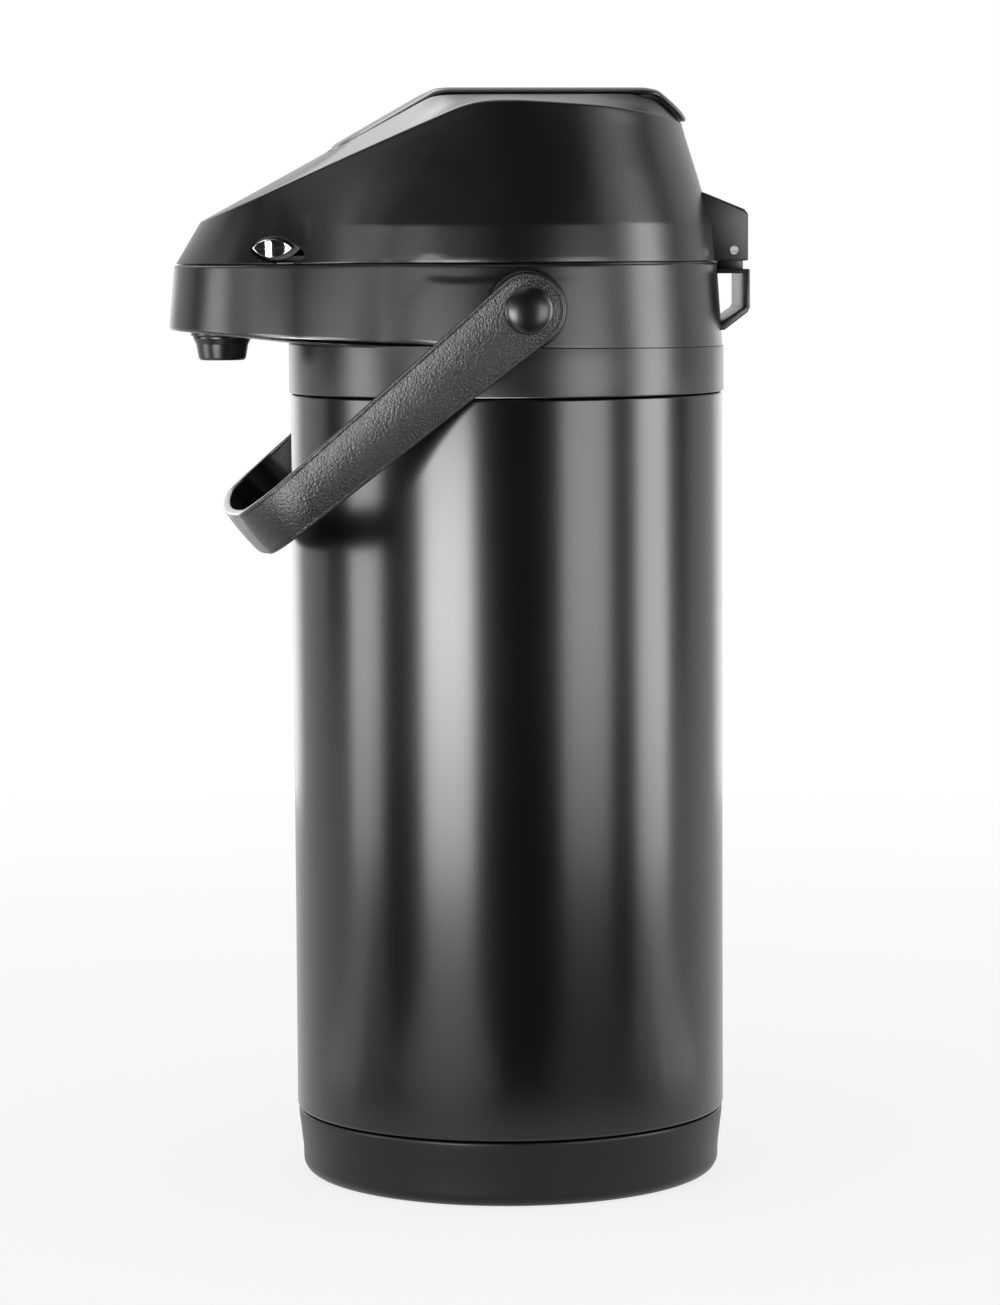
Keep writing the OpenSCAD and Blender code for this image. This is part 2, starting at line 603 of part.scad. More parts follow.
module press_lever() {
  color([0.05, 0.05, 0.05])
  difference() {
    union() {
      intersection() {
        translate([-50, 0, 0]) rotate([90, 0, 90]) linear_extrude(100) plate_side();
        translate([0, 0, top_z - 30]) linear_extrude(40) intersection() {
          union() {
            translate([-plate_x, -49]) square([2 * plate_x, 130]);
            translate([11 - plate_x, -60]) square([2 * plate_x - 22, 40]);
            for (s = [-1, 1]) translate([s * (plate_x - 11), -49]) circle(11);
          }
          union() {
            translate([-plate_x - 5, -100]) square([2 * plate_x + 10, 100 + rim_y + 2]);
            polygon([for (a = [0 : 5 : 180]) [plate_x * cos(a), rim_y + 2 + (rim_l + 0.8) * sin(a)]]);
          }
        }
      }
      for (s = [-1, 1]) translate([s * 23 - 3, 0, 0]) rotate([90, 0, 90]) linear_extrude(6) {
        translate([lever_y, lever_z]) circle(3.6);
        polygon([[lever_y - 3.6, lever_z], [lever_y + 3.6, lever_z], [lever_y + 3, top_z + 0.4],
          [lever_y - 14, top_z + 0.4]]);
      }
      translate([-6, -14, plunger_top + plunger_gap]) cube([12, 26, top_z + 0.8 - plunger_top - plunger_gap]);
    }
    translate([-40, lever_y, lever_z]) rotate([0, 90, 0]) cylinder(h = 80, r = 2.05);
  }
}

module lever_pin() {
  color([0.75, 0.75, 0.76])
  translate([-36.6, lever_y, lever_z]) rotate([0, 90, 0]) cylinder(h = 73.2, r = 2);
}

module release_button() {
  at_button() {
    intersection() {
      translate([0, 0, -5.4]) linear_extrude(9) lens(13.4, 6.1);
      translate([0, 0, 1.2 - 16]) sphere(16);
    }
    translate([0, 0, -6.4]) linear_extrude(1.2) lens(18.4, 9.6);
  }
}

module release_button_right() {
  color([0.8, 0.8, 0.82]) release_button();
}

module release_button_left() {
  color([0.8, 0.8, 0.82]) mirror([1, 0, 0]) release_button();
}

base_cap();
outer_shell();
shell_bottom();
inner_liner();
collar();
mouth_gasket();
mouth_insert();
dip_tube();
outlet_pipe();
spout_nozzle();
pivot_pin_right();
pivot_pin_left();
handle();
hinge_pin();
lid_cover();
lid_tray();
lid_screws();
stopper();
stopper_seal();
check_valve();
bellows();
return_spring();
plunger();
intake_valve();
press_lever();
lever_pin();
release_button_right();
release_button_left();
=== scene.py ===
"""Pump pot: the visible pieces, their finishes, the studio light and the camera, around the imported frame."""

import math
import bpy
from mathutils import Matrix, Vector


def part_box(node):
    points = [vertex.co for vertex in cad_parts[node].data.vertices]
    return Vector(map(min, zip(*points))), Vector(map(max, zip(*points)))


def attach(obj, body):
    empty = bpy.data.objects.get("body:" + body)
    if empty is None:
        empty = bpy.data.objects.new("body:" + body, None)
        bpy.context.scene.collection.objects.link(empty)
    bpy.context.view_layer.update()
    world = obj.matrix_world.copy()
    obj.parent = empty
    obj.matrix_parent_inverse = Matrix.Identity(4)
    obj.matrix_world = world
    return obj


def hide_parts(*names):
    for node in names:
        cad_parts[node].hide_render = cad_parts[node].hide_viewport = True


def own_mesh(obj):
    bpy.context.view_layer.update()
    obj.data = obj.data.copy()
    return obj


bl_info = {
    "name": "Pump pot",
    "version": (1, 0, 0),
    "blender": (4, 5, 0),
    "location": "View3D > Sidebar > Pump pot",
    "description": "Builds the visible pieces of a pump pot around its packed frame",
    "category": "Object",
}

import bmesh
import bpy
import numpy as np
from mathutils import Matrix, Vector

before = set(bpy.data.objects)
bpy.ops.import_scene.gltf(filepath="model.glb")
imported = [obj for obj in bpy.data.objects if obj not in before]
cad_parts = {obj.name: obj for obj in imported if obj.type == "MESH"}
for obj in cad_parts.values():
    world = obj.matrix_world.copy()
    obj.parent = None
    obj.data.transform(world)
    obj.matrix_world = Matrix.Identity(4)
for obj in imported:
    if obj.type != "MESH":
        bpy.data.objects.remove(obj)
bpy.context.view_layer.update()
MM = 0.001
SHARP = 32.0


def span(node, side, axis):
    """One coordinate of a node's box at rest: side 0 is low and 1 is high."""
    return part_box(node)[side][axis]


# Sizes and colours


def length_choice(name, text, value, low, high):
    """A length that a user may change, in metres."""
    return bpy.props.FloatProperty(
        name=name, description=text, default=value, min=low, max=high, unit="LENGTH")


def colour_choice(name, text, value):
    """A colour that a user may change."""
    return bpy.props.FloatVectorProperty(
        name=name, description=text, default=value, min=0.0, max=1.0, size=3, subtype="COLOR")


class PotSizes(bpy.types.PropertyGroup):
    """Sizes of the pot that the pieces are drawn from"""

    body_r: length_choice("Body radius", "Radius of the painted body shell",
                          span("outer_shell", 1, 0), 0.06, 0.09)
    base_h: length_choice("Base height", "Height of the base cap",
                          span("base_cap", 1, 2) + 0.0006, 0.015, 0.035)
    collar_z: length_choice("Collar height", "Height where the collar starts",
                            span("collar", 0, 2), 0.2, 0.32)
    seam_z: length_choice("Seam height", "Height of the seam between the collar and the lid",
                          span("lid_cover", 0, 2) - 0.0006, 0.28, 0.36)
    top_z: length_choice("Lid top", "Height of the lid's flat top",
                         span("press_lever", 1, 2) - 0.0025, 0.34, 0.42)
    nose_y: length_choice("Beak reach", "Distance of the beak's round front from the axis",
                          0.0705, 0.06, 0.08)
    nose_r: length_choice("Beak radius", "Radius of the beak's round front at the bottom",
                          0.0479, 0.04, 0.052)
    blend_r: length_choice("Blend radius", "Radius of the hollow blend between beak and collar",
                           0.057, 0.04, 0.08)
    wall: length_choice("Wall", "Wall of the collar and the lid", 0.0026, 0.002, 0.0035)
    nozzle_y: length_choice("Nozzle reach", "Distance of the nozzle from the axis", 0.1, 0.095, 0.104)
    edge_r: length_choice("Lid rear radius", "Radius of the lid's round rear at its upper edge",
                          0.062, 0.058, 0.066)
    edge_nose_y: length_choice("Lid front reach", "Distance of the lid's upper front arc from the axis",
                               0.067, 0.06, 0.072)
    edge_nose_r: length_choice("Lid front radius", "Radius of the lid's upper front arc", 0.04, 0.034, 0.046)
    well_x: length_choice("Opening half width", "Half width of the opening under the press plate",
                          0.037, 0.032, 0.04)
    handle_len: length_choice("Handle length", "Distance from the pivots to the outside of the cross bar",
                              0.1234, 0.12, 0.13)
    handle_tilt: bpy.props.FloatProperty(
        name="Handle tilt", description="Angle of the handle below the horizontal",
        default=math.radians(39.4), min=0.0, max=0.9, unit="ROTATION")


class PotColours(bpy.types.PropertyGroup):
    """Colours of the pot's finishes"""

    paint: colour_choice("Body paint", "Powder coat of the body shell", (0.003, 0.003, 0.0031))
    plastic: colour_choice("Black plastic", "Moulded plastic of the lid, the collar and the base",
                           (0.0045, 0.0045, 0.0046))
    strap: colour_choice("Handle plastic", "Grained plastic of the handle", (0.006, 0.006, 0.0062))
    pale: colour_choice("Pale plastic", "Plastic of the stopper, the pump and the tubes", (0.74, 0.73, 0.69))
    rubber: colour_choice("Silicone", "Rubber of the seals, the valves and the bellows", (0.62, 0.61, 0.58))
    steel: colour_choice("Steel", "Stainless steel of the liner, the pins and the spring", (0.56, 0.56, 0.57))
    chrome: colour_choice("Chrome", "Chrome of the release buttons", (0.78, 0.78, 0.79))


# Finishes


FINISH = {}
SKINS = (
    # name, slot, colour, grain, patch, smooth, rough, depth of the grain in metres, spread of the tint
    ("satin_paint", "black_paint", "paint", 1500.0, 14.0, 0.215, 0.235, 4e-6, 0.2),
    ("moulded_plastic", "black_plastic", "plastic", 2000.0, 40.0, 0.28, 0.32, 1.4e-5, 0.35),
    ("base_plastic", "black_plastic", "plastic", 2300.0, 30.0, 0.36, 0.4, 6e-6, 0.35),
    ("grained_plastic", "grain_plastic", "strap", 1350.0, 60.0, 0.34, 0.4, 3e-4, 0.5),
    ("smooth_strap", "grain_plastic", "strap", 2300.0, 60.0, 0.16, 0.2, 3e-6, 0.3),
    ("dark_inside", "black_plastic", "plastic", 2300.0, 40.0, 0.5, 0.58, 1.2e-5, 0.3),
    ("pale_plastic", "pale_plastic", "pale", 1800.0, 50.0, 0.36, 0.46, 8e-6, 0.06),
    ("silicone", "rubber", "rubber", 2600.0, 80.0, 0.5, 0.62, 1e-5, 0.08),
    ("soft_silicone", "pale_rubber", "rubber", 2600.0, 80.0, 0.46, 0.58, 1e-5, 0.08),
    ("chrome", "chrome", "chrome", 900.0, 120.0, 0.06, 0.1, 6e-7, 0.0),
)
SHINE = {
    "base_plastic": ("Specular IOR Level", 0.3),
    "silicone": ("Sheen Weight", 0.1),
    "soft_silicone": ("Sheen Weight", 0.1),
    "chrome": ("Metallic", 1.0),
    "brushed_steel": ("Metallic", 1.0),
}


def new_group(name, inputs, outputs):
    """An empty shader node group with named number sockets, and its input and output nodes."""
    tree = bpy.data.node_groups.new(name, "ShaderNodeTree")
    for label, value in inputs.items():
        socket = tree.interface.new_socket(label, in_out="INPUT", socket_type="NodeSocketFloat")
        socket.default_value = value
    for label in outputs:
        tree.interface.new_socket(label, in_out="OUTPUT", socket_type="NodeSocketFloat")
    return tree, tree.nodes.new("NodeGroupInput"), tree.nodes.new("NodeGroupOutput")


def add_noise(tree, where, scale, detail):
    """Noise over the places that one socket gives, as fine as another socket says."""
    noise = tree.nodes.new("ShaderNodeTexNoise")
    noise.inputs["Detail"].default_value = detail
    tree.links.new(where, noise.inputs["Vector"])
    tree.links.new(scale, noise.inputs["Scale"])
    return noise.outputs["Fac"]


def add_roughness(tree, noise, ins, outs):
    """Spreads the middle of a noise between the group's smooth and rough values."""
    rough = tree.nodes.new("ShaderNodeMapRange")
    rough.inputs["From Min"].default_value = 0.3
    rough.inputs["From Max"].default_value = 0.7
    tree.links.new(noise, rough.inputs["Value"])
    tree.links.new(ins.outputs["Smooth"], rough.inputs["To Min"])
    tree.links.new(ins.outputs["Rough"], rough.inputs["To Max"])
    tree.links.new(rough.outputs["Result"], outs.inputs["Roughness"])


def moulded_skin_group():
    """Fine skin of a moulded or coated surface: height of the grain, roughness and a shade mask."""
    tree, ins, outs = new_group("Moulded skin", {"Grain": 3000.0, "Patch": 30.0, "Smooth": 0.3, "Rough": 0.4},
                                ["Height", "Roughness", "Shade"])
    where = tree.nodes.new("ShaderNodeTexCoord").outputs["Object"]
    fine = add_noise(tree, where, ins.outputs["Grain"], 2.0)
    add_roughness(tree, add_noise(tree, where, ins.outputs["Patch"], 3.0), ins, outs)
    for label in ("Height", "Shade"):
        tree.links.new(fine, outs.inputs[label])
    return tree


def brushed_lines_group():
    """Fine lines that run round the axis of turned steel: height and roughness."""
    tree, ins, outs = new_group("Brushed lines", {"Lines": 900.0, "Smooth": 0.2, "Rough": 0.34},
                                ["Height", "Roughness"])
    stretch = tree.nodes.new("ShaderNodeMapping")
    stretch.inputs["Scale"].default_value = (0.02, 0.02, 1.0)
    tree.links.new(tree.nodes.new("ShaderNodeTexCoord").outputs["Object"], stretch.inputs["Vector"])
    lines = add_noise(tree, stretch.outputs["Vector"], ins.outputs["Lines"], 4.0)
    add_roughness(tree, lines, ins, outs)
    tree.links.new(lines, outs.inputs["Height"])
    return tree


def plain_material(name):
    """A new Principled material, with its nodes, its shader and a short way to link."""
    material = bpy.data.materials.new(name)
    material.use_nodes = True
    nodes = material.node_tree.nodes
    return material, nodes, nodes["Principled BSDF"], material.node_tree.links.new


def add_finish(key, slot, colour, group, values, depth, spread=0.0):
    """A material on a node group; values are the group's inputs in their order."""
    material, nodes, shader, link = plain_material(key.replace("_", " "))
    skin = nodes.new("ShaderNodeGroup")
    skin.node_tree = group
    for socket, value in zip(skin.inputs, values):
        socket.default_value = value
    shader.inputs["Base Color"].default_value = (*colour, 1.0)
    if key in SHINE:
        label, value = SHINE[key]
        shader.inputs[label].default_value = value
    link(skin.outputs["Roughness"], shader.inputs["Roughness"])
    bump = nodes.new("ShaderNodeBump")
    bump.inputs["Strength"].default_value = 1.0
    bump.inputs["Distance"].default_value = depth
    link(skin.outputs["Height"], bump.inputs["Height"])
    link(bump.outputs["Normal"], shader.inputs["Normal"])
    if spread:
        tint = nodes.new("ShaderNodeMix")
        tint.data_type = "RGBA"
        for label, share in (("A", 1 - spread), ("B", 1 + spread)):
            tint.inputs[label].default_value = (*[min(1.0, c * share) for c in colour], 1.0)
        link(skin.outputs["Shade"], tint.inputs["Factor"])
        link(tint.outputs["Result"], shader.inputs["Base Color"])
    FINISH[key] = (material, slot)


class POT_OT_finishes(bpy.types.Operator):
    """Makes the finishes of all pieces from the chosen colours"""

    bl_idname = "pot.finishes"
    bl_label = "Finishes"

    def execute(self, context):
        colours = context.scene.pot_colours
        group = moulded_skin_group()
        for key, slot, colour, *values, depth, spread in SKINS:
            add_finish(key, slot, getattr(colours, colour), group, values, depth, spread)
        add_finish("brushed_steel", "steel", colours.steel, brushed_lines_group(), (900.0, 0.22, 0.34), 3e-6)
        return {"FINISHED"}


# Shapes, in millimetres


class Stock:
    """Points and faces that make one piece."""

    def __init__(self):
        self.points, self.faces, self.count = [], [], 0

    def sheet(self, rows, loop_rows=True, loop_cols=True, ends=False):
        """A net of quads over rows of points; ends closes the first and the last row with a face."""
        rows = np.asarray(rows, float)
        m, n = rows.shape[:2]
        first = self.count
        for r in range(m if loop_rows else m - 1):
            here, after = first + r * n, first + (r + 1) % m * n
            for c in range(n if loop_cols else n - 1):
                right = (c + 1) % n
                self.faces.append((here + c, here + right, after + right, after + c))
        self.points.append(rows.reshape(-1, 3))
        self.count += m * n
        if ends:
            self.faces += [tuple(range(first, first + n)), tuple(range(self.count - n, self.count))]
        return self


def shade(mesh, sharp):
    """Shades a mesh smooth between edges that are sharper than an angle in degrees."""
    mesh.polygons.foreach_set("use_smooth", [True] * len(mesh.polygons))
    mesh.set_sharp_from_angle(angle=math.radians(sharp))


def new_form(name, stock, sharp):
    """A mesh object with doubled points joined and its faces turned outwards."""
    mesh = bpy.data.meshes.new(name)
    mesh.from_pydata((np.concatenate(stock.points) * MM).tolist(), [], stock.faces)
    work = bmesh.new()
    work.from_mesh(mesh)
    bmesh.ops.remove_doubles(work, verts=work.verts, dist=2e-6)
    bmesh.ops.dissolve_degenerate(work, edges=work.edges, dist=1e-7)
    bmesh.ops.recalc_face_normals(work, faces=work.faces)
    work.to_mesh(mesh)
    work.free()
    shade(mesh, sharp)
    form = bpy.data.objects.new(name, mesh)
    bpy.context.scene.collection.objects.link(form)
    return form


def make_piece(name, stock, body, stands_for, finish, sharp=SHARP):
    """The mesh object of a piece: it rides on a body and stands for nodes of the frame."""
    piece = new_form(name, stock, sharp)
    material, slot = FINISH[finish]
    piece.data.materials.append(material)
    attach(piece, body)
    if stands_for:
        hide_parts(*stands_for)
    return piece


def carve(piece, cutters):
    """Cuts closed forms out of a piece and removes them."""
    for cutter in cutters:
        cut = piece.modifiers.new("cut", "BOOLEAN")
        cut.operation = "DIFFERENCE"
        cut.solver = "EXACT"
        cut.object = cutter
    ready = piece.evaluated_get(bpy.context.evaluated_depsgraph_get())
    mesh = bpy.data.meshes.new_from_object(ready)
    piece.modifiers.clear()
    piece.data = mesh
    for cutter in cutters:
        bpy.data.objects.remove(cutter)
    shade(mesh, SHARP)


def ease(u):
    """Smooth step from 0 to 1."""
    u = np.clip(u, 0.0, 1.0)
    return u * u * (3 - 2 * u)


def lerp(a, b, u):
    """A share u of the way from a to b."""
    return a + (b - a) * u


def quarter(points):
    """Pairs (1 - sin, 1 - cos) over a quarter turn, for a rounded edge."""
    a = np.linspace(0, math.pi / 2, points)
    return list(zip(1 - np.sin(a), 1 - np.cos(a)))


def soften(corners, radius, steps=5, closed=True):
    """A path with its corners rounded; radius is one number or one for each corner."""
    corners = [np.array(c, float) for c in corners]
    n, path = len(corners), []
    for i, p in enumerate(corners):
        r = radius[i] if hasattr(radius, "__len__") else radius
        if r <= 0 or (not closed and i in (0, n - 1)):
            path.append(p)
            continue
        to_a, to_b = corners[i - 1] - p, corners[(i + 1) % n] - p
        la, lb = np.linalg.norm(to_a), np.linalg.norm(to_b)
        u, v = to_a / la, to_b / lb
        half = math.acos(max(-1.0, min(1.0, float(u @ v)))) / 2
        if half > math.pi / 2 - 0.01:
            path.append(p)
            continue
        t = min(r / math.tan(half), 0.48 * la, 0.48 * lb)
        centre = p + (u + v) / np.linalg.norm(u + v) * t / math.cos(half)
        w0, w1, turn = p + u * t - centre, p + v * t - centre, math.pi - 2 * half
        for k in range(steps + 1):
            s = k / steps
            part = math.sin((1 - s) * turn) * w0 + math.sin(s * turn) * w1
            path.append(centre + part / math.sin(turn))
    return np.array(path)


def lathe(profile, steps):
    """Rows of points of a profile (radius, height) turned round Z."""
    profile = np.asarray(profile, float)
    a = np.linspace(0, 2 * math.pi, steps, endpoint=False)
    return np.stack([np.outer(np.cos(a), profile[:, 0]), np.outer(np.sin(a), profile[:, 0]),
                     np.broadcast_to(profile[:, 1], (steps, len(profile)))], -1)


def sideways(turned, side, z):
    """A turned form laid along X at height z, to one side of the pot."""
    return np.stack([side * turned[..., 2], turned[..., 0], turned[..., 1] + z], -1)


def inset(path, d):
    """A closed path moved inwards by d, with mitred corners."""
    path = np.asarray(path, float)
    before, after = np.roll(path, 1, 0), np.roll(path, -1, 0)
    area = 0.5 * np.sum(path[:, 0] * after[:, 1] - after[:, 0] * path[:, 1])
    side = 1.0 if area > 0 else -1.0
    normals = []
    for edge in (path - before, after - path):
        edge = edge / np.linalg.norm(edge, axis=1)[:, None]
        normals.append(np.stack([-edge[:, 1], edge[:, 0]], 1) * side)
    mid = normals[0] + normals[1]
    mid /= np.maximum(np.sum(mid * normals[0], axis=1), 0.25)[:, None]
    return path + mid * d


def block(stock, path, low, high, edge):
    """A prism along X with rounded edges, over a side view (y, z)."""
    turn = quarter(4)
    rings = [(edge * s, low + edge * k) for s, k in turn]
    rings += [(edge * s, high - edge * k) for s, k in reversed(turn)]
    rows = []
    for d, x in rings:
        ring = inset(path, d)
        rows.append(np.column_stack([np.full(len(ring), x), ring]))
    stock.sheet(rows, loop_rows=False, ends=True)


def smooth_table(pairs, width):
    """A function through a table of pairs, with its corners rounded over the given width."""
    xs, ys = np.array(pairs, float).T
    fine = np.arange(xs[0] - 4 * width, xs[-1] + 4 * width, width / 8)
    low = (ys[1] - ys[0]) / (xs[1] - xs[0])
    high = (ys[-1] - ys[-2]) / (xs[-1] - xs[-2])
    raw = np.interp(fine, xs, ys)
    raw = np.where(fine < xs[0], ys[0] + (fine - xs[0]) * low, raw)
    raw = np.where(fine > xs[-1], ys[-1] + (fine - xs[-1]) * high, raw)
    reach = np.arange(-24, 25) / 8
    bell = np.exp(-0.5 * reach ** 2)
    even = np.convolve(np.pad(raw, 24, mode="edge"), bell / bell.sum(), mode="valid")
    return lambda x: np.interp(x, fine, even)


def polar(r, a, x=0.0, y=0.0):
    """Points at a radius round (x, y), where the angles turn from +X to -Y."""
    return np.stack([x + r * np.cos(a), y - r * np.sin(a)], 1)


class Outline:
    """The pot's outlines from above and its heights along the beak, in millimetres."""

    FRONT, SIDE, REAR = 60, 28, 60
    OPENING = (-61.6, 48.0)
    LID_STEP = 2.6
    NICK, NICK_Y, FOLD, FOLD_Y = 0.26, -32.0, 0.16, -73.0

    def __init__(self, sizes):
        for own, size in (
                ("body_r", "body_r"), ("seam", "seam_z"), ("top", "top_z"), ("collar", "collar_z"),
                ("nose_y", "nose_y"), ("nose_r", "nose_r"), ("blend_r", "blend_r"), ("wall", "wall"),
                ("edge_r", "edge_r"), ("edge_y", "edge_nose_y"), ("edge_n", "edge_nose_r"),
                ("well_x", "well_x"), ("nozzle_y", "nozzle_y")):
            setattr(self, own, getattr(sizes, size) * 1000.0)
        self.band = self.body_r + 0.2
        self.lid = self.seam + 0.6
        self.pivot_z = self.collar + 29.8
        self.nozzle_z = self.collar + 20.2
        self.hinge_y, self.hinge_r = self.body_r + 3, 4.3
        self.open_y = sum(self.OPENING) / 2
        reach, near = self.band + self.blend_r, self.nose_r + self.blend_r
        self.blend_y = (near ** 2 - reach ** 2 - self.nose_y ** 2) / (2 * self.nose_y)
        self.blend_x = math.sqrt(reach ** 2 - self.blend_y ** 2)
        self.blend_a = math.atan2(-(self.blend_y + self.nose_y), self.blend_x)
        self.blend_b = math.atan2(-self.blend_y, self.blend_x)
        self.edge_a = math.asin((self.edge_r - self.edge_n) / self.edge_y)
        top, col = self.top, self.collar
        self.edge_z = smooth_table([(y, top - h) for y, h in [
            (-107, 43), (-20, 4.4), (-14, 3), (-8, 2.7), (0, 2.8), (30, 4.6), (45, 6.6), (58, 9.2),
            (64, 10.2)]], 2.5)
        self.rim_z = smooth_table([(y, top - h) for y, h in [
            (-62, 18.6), (-29, 0.8), (-25, 0.1), (-20, 0), (40, 0), (46, 0.8), (48, 1.3), (51, 2.1),
            (61, 9.2)]], 1.6)
        self.chin_z = smooth_table([(y, col + h) for y, h in [
            (-120, 22.5), (-100, 21.1), (-89, 20.1), (-57, 18.4), (0, 17), (76, 15.8)]], 5.0)
        self.creased = smooth_table([
            (-0.2, 0.0), (0.0, 0.0), (0.03, 0.0), (0.24, 0.1), (0.6, 0.52), (0.9, 0.89), (1.0, 1.0),
            (1.2, 1.2)], 0.006)

    def low(self, d):
        """Half outline at the collar, from the tip to the rear, inset by d."""
        front = np.linspace(math.pi / 2, self.blend_a, self.FRONT + 1)
        side = np.linspace(self.blend_a, self.blend_b, self.SIDE + 1)[1:]
        rear = np.linspace(self.blend_b, -math.pi / 2, self.REAR + 1)[1:]
        return np.concatenate([polar(self.nose_r - d, front, 0, -self.nose_y),
                               polar(-self.blend_r - d, side, self.blend_x, self.blend_y),
                               polar(self.band - d, rear)])

    def edge(self, d):
        """Half outline of the lid's upper edge, inset by d."""
        front = np.linspace(math.pi / 2, self.edge_a, self.FRONT + 1)
        u = np.linspace(0, 1, self.SIDE + 1)[1:]
        rear = np.linspace(self.edge_a, -math.pi / 2, self.REAR + 1)[1:]
        side = polar(lerp(self.edge_n, self.edge_r, u) - d, self.edge_a, 0, -self.edge_y * (1 - u))
        return np.concatenate([polar(self.edge_n - d, front, 0, -self.edge_y), side,
                               polar(self.edge_r - d, rear)])

    def bearing(self):
        """Angles of the upper edge's points, seen from the middle of the opening."""
        q = self.edge(0)
        return np.arctan2(self.open_y - q[:, 1], q[:, 0])

    def well(self, d):
        """Half outline of the opening under the press plate, grown by -d."""
        half, power = (self.OPENING[1] - self.OPENING[0]) / 2, 8
        a = self.bearing()
        across, along = np.abs(np.cos(a)) / (self.well_x - d), np.abs(np.sin(a)) / (half - d)
        return polar((across ** power + along ** power) ** (-1 / power), a, 0, self.open_y)

    def rim(self):
        """Half outline of the rim round the press plate: the opening, with a half ellipse at the rear."""
        near = 38.0
        long, k = self.edge_r - 1.2 - near, near - self.open_y
        a, sides = self.bearing(), self.well(0)
        back = -np.sin(a)
        m = (np.cos(a) / (self.well_x - 1.4)) ** 2 + (back / long) ** 2
        h = back * k / long ** 2
        e = h * h - m * ((k / long) ** 2 - 1)
        rear = np.where((e > 0) & (back > 0), (h + np.sqrt(np.maximum(e, 0))) / m, 0)
        r = np.maximum(np.hypot(sides[:, 0], sides[:, 1] - self.open_y), rear)
        return polar(r, a, 0, self.open_y)

    def round(self, r):
        """Half circle with the same number of points."""
        parts = ((90, 40, self.FRONT), (40, 20, self.SIDE), (20, -90, self.REAR))
        a = np.concatenate([[90.0]] + [np.linspace(start, stop, n + 1)[1:] for start, stop, n in parts])
        return polar(r, np.radians(a))

    def hoop(self, r, z):
        """Full circle at height z."""
        return self.whole(self.round(r), z)

    def whole(self, half, z):
        """Both sides of a half outline at height z."""
        half = np.column_stack([half, np.broadcast_to(z, len(half))])
        other = half[-2:0:-1] * [-1, 1, 1]
        return np.concatenate([half, other])

    def lid_wall(self, t, d):
        """Ring of the lid's side wall, with a nick at its foot and a fine fold on the flank.

        t runs from the seam to the upper edge, and d is the inset.
        """
        a, b = self.low(self.LID_STEP + d), self.edge(d)
        rise = self.edge_z(b[:, 1]) - self.lid
        turn, share = np.clip(13.0 / rise, 0.0, 0.5), 0.24
        s = np.where(t < turn, t * share / turn, share + (t - turn) * (1 - share) / (1 - turn))
        f = lerp(t, self.creased(s), ease((b[:, 1] + 62) / 26))
        p = lerp(a, b, f[:, None])
        up = rise * t
        away = ((p[:, 1] - self.NICK_Y) / 5.2) ** 2 + (up / 3.6) ** 2
        fold = np.exp(-((p[:, 1] - self.FOLD_Y) / 0.9) ** 2) * ease((up - 6) / 3) * ease((17 - up) / 3)
        out = a - self.low(self.LID_STEP + 1 + d)
        p = p - out * (self.NICK * ease((1 - away) / 0.8) + self.FOLD * fold)[:, None]
        return self.whole(p, self.lid + up)

    def deck(self, u):
        """Ring of the lid's top, from the upper edge to the rim of the opening."""
        a, b = self.edge(0), self.rim()
        return self.whole(lerp(a, b, u), lerp(self.edge_z(a[:, 1]), self.rim_z(b[:, 1]), u))

    def well_ring(self, d, dz):
        """Ring of the opening's wall, dz above its rim."""
        q = self.well(d)
        return self.whole(q, self.rim_z(q[:, 1]) + dz)


def bend(p0, p1, p2, steps):
    """Rings that round the corner p1 between two rings."""
    return [p0 * (1 - s) ** 2 + p1 * 2 * s * (1 - s) + p2 * s ** 2 for s in np.linspace(0, 1, steps + 1)]


# Body


class POT_OT_body(bpy.types.Operator):
    """Makes the painted body shell and the base cap"""

    bl_idname = "pot.body"
    bl_label = "Body"

    def execute(self, context):
        s = context.scene.pot_sizes
        r, h, c = (size * 1000 for size in (s.body_r, s.base_h, s.collar_z))
        step, lap, t, foot, neck, lip = r - 3.4, r - 2, 0.8, r - 7, 54.0, c + 16.8
        shell = soften(
            [(step, 8), (step, h - 0.5), (r - 0.5, h), (r, h + 0.8), (r, c - 1), (r - 0.4, c - 0.5),
             (lap, c - 0.3), (lap, c + 5.8), (lap - 1.5, c + 8.2), (lap - 6, c + 10.2), (neck + 0.6, c + 12),
             (neck, c + 12.8), (neck, lip), (neck - t, lip), (neck - t, c + 12.2), (neck + 0.2, c + 11.3),
             (lap - 6.3, c + 9.4), (lap - 2.1, c + 7.6), (lap - t, c + 5.6), (lap - t, c - 1.1),
             (r - t, c - 1.4), (r - t, h + 1), (step - t, h + 0.3), (step - t, 8)],
            [0, 0.2, 0.5, 0.8, 0.6, 0.3, 0.3, 1.5, 2, 2, 0.5, 0.4] + [0.2] * 12, 4)
        make_piece("BodyShell", Stock().sheet(lathe(shell, 256)), "pot", ["outer_shell"], "satin_paint")
        arc = [(foot + 5 * math.sin(a), 5 - 5 * math.cos(a)) for a in np.linspace(0, math.pi / 2, 14)]
        base = [(0, 0), (7.1, 0), (7.6, 0.3), (8.6, 2.3), (9.2, 2.5), (foot - 12.4, 2.5), (foot - 11.8, 2.3),
                (foot - 10.4, 0.3), (foot - 9.8, 0)] + arc + [(r - 1.9, 9), (r - 1.2, 15), (r - 0.7, 19)]
        base += list(soften([(r - 0.5, 21), (r - 0.3, h - 0.6), (step, h - 0.6)], 1.0, 6, closed=False))
        base += [(step, 8.3), (step - 0.3, 8), (foot - 5, 8), (foot - 7, 5.5), (0, 5.5)]
        make_piece("BaseCap", Stock().sheet(lathe(base, 224)), "pot", ["base_cap"], "base_plastic")
        return {"FINISHED"}


# Collar


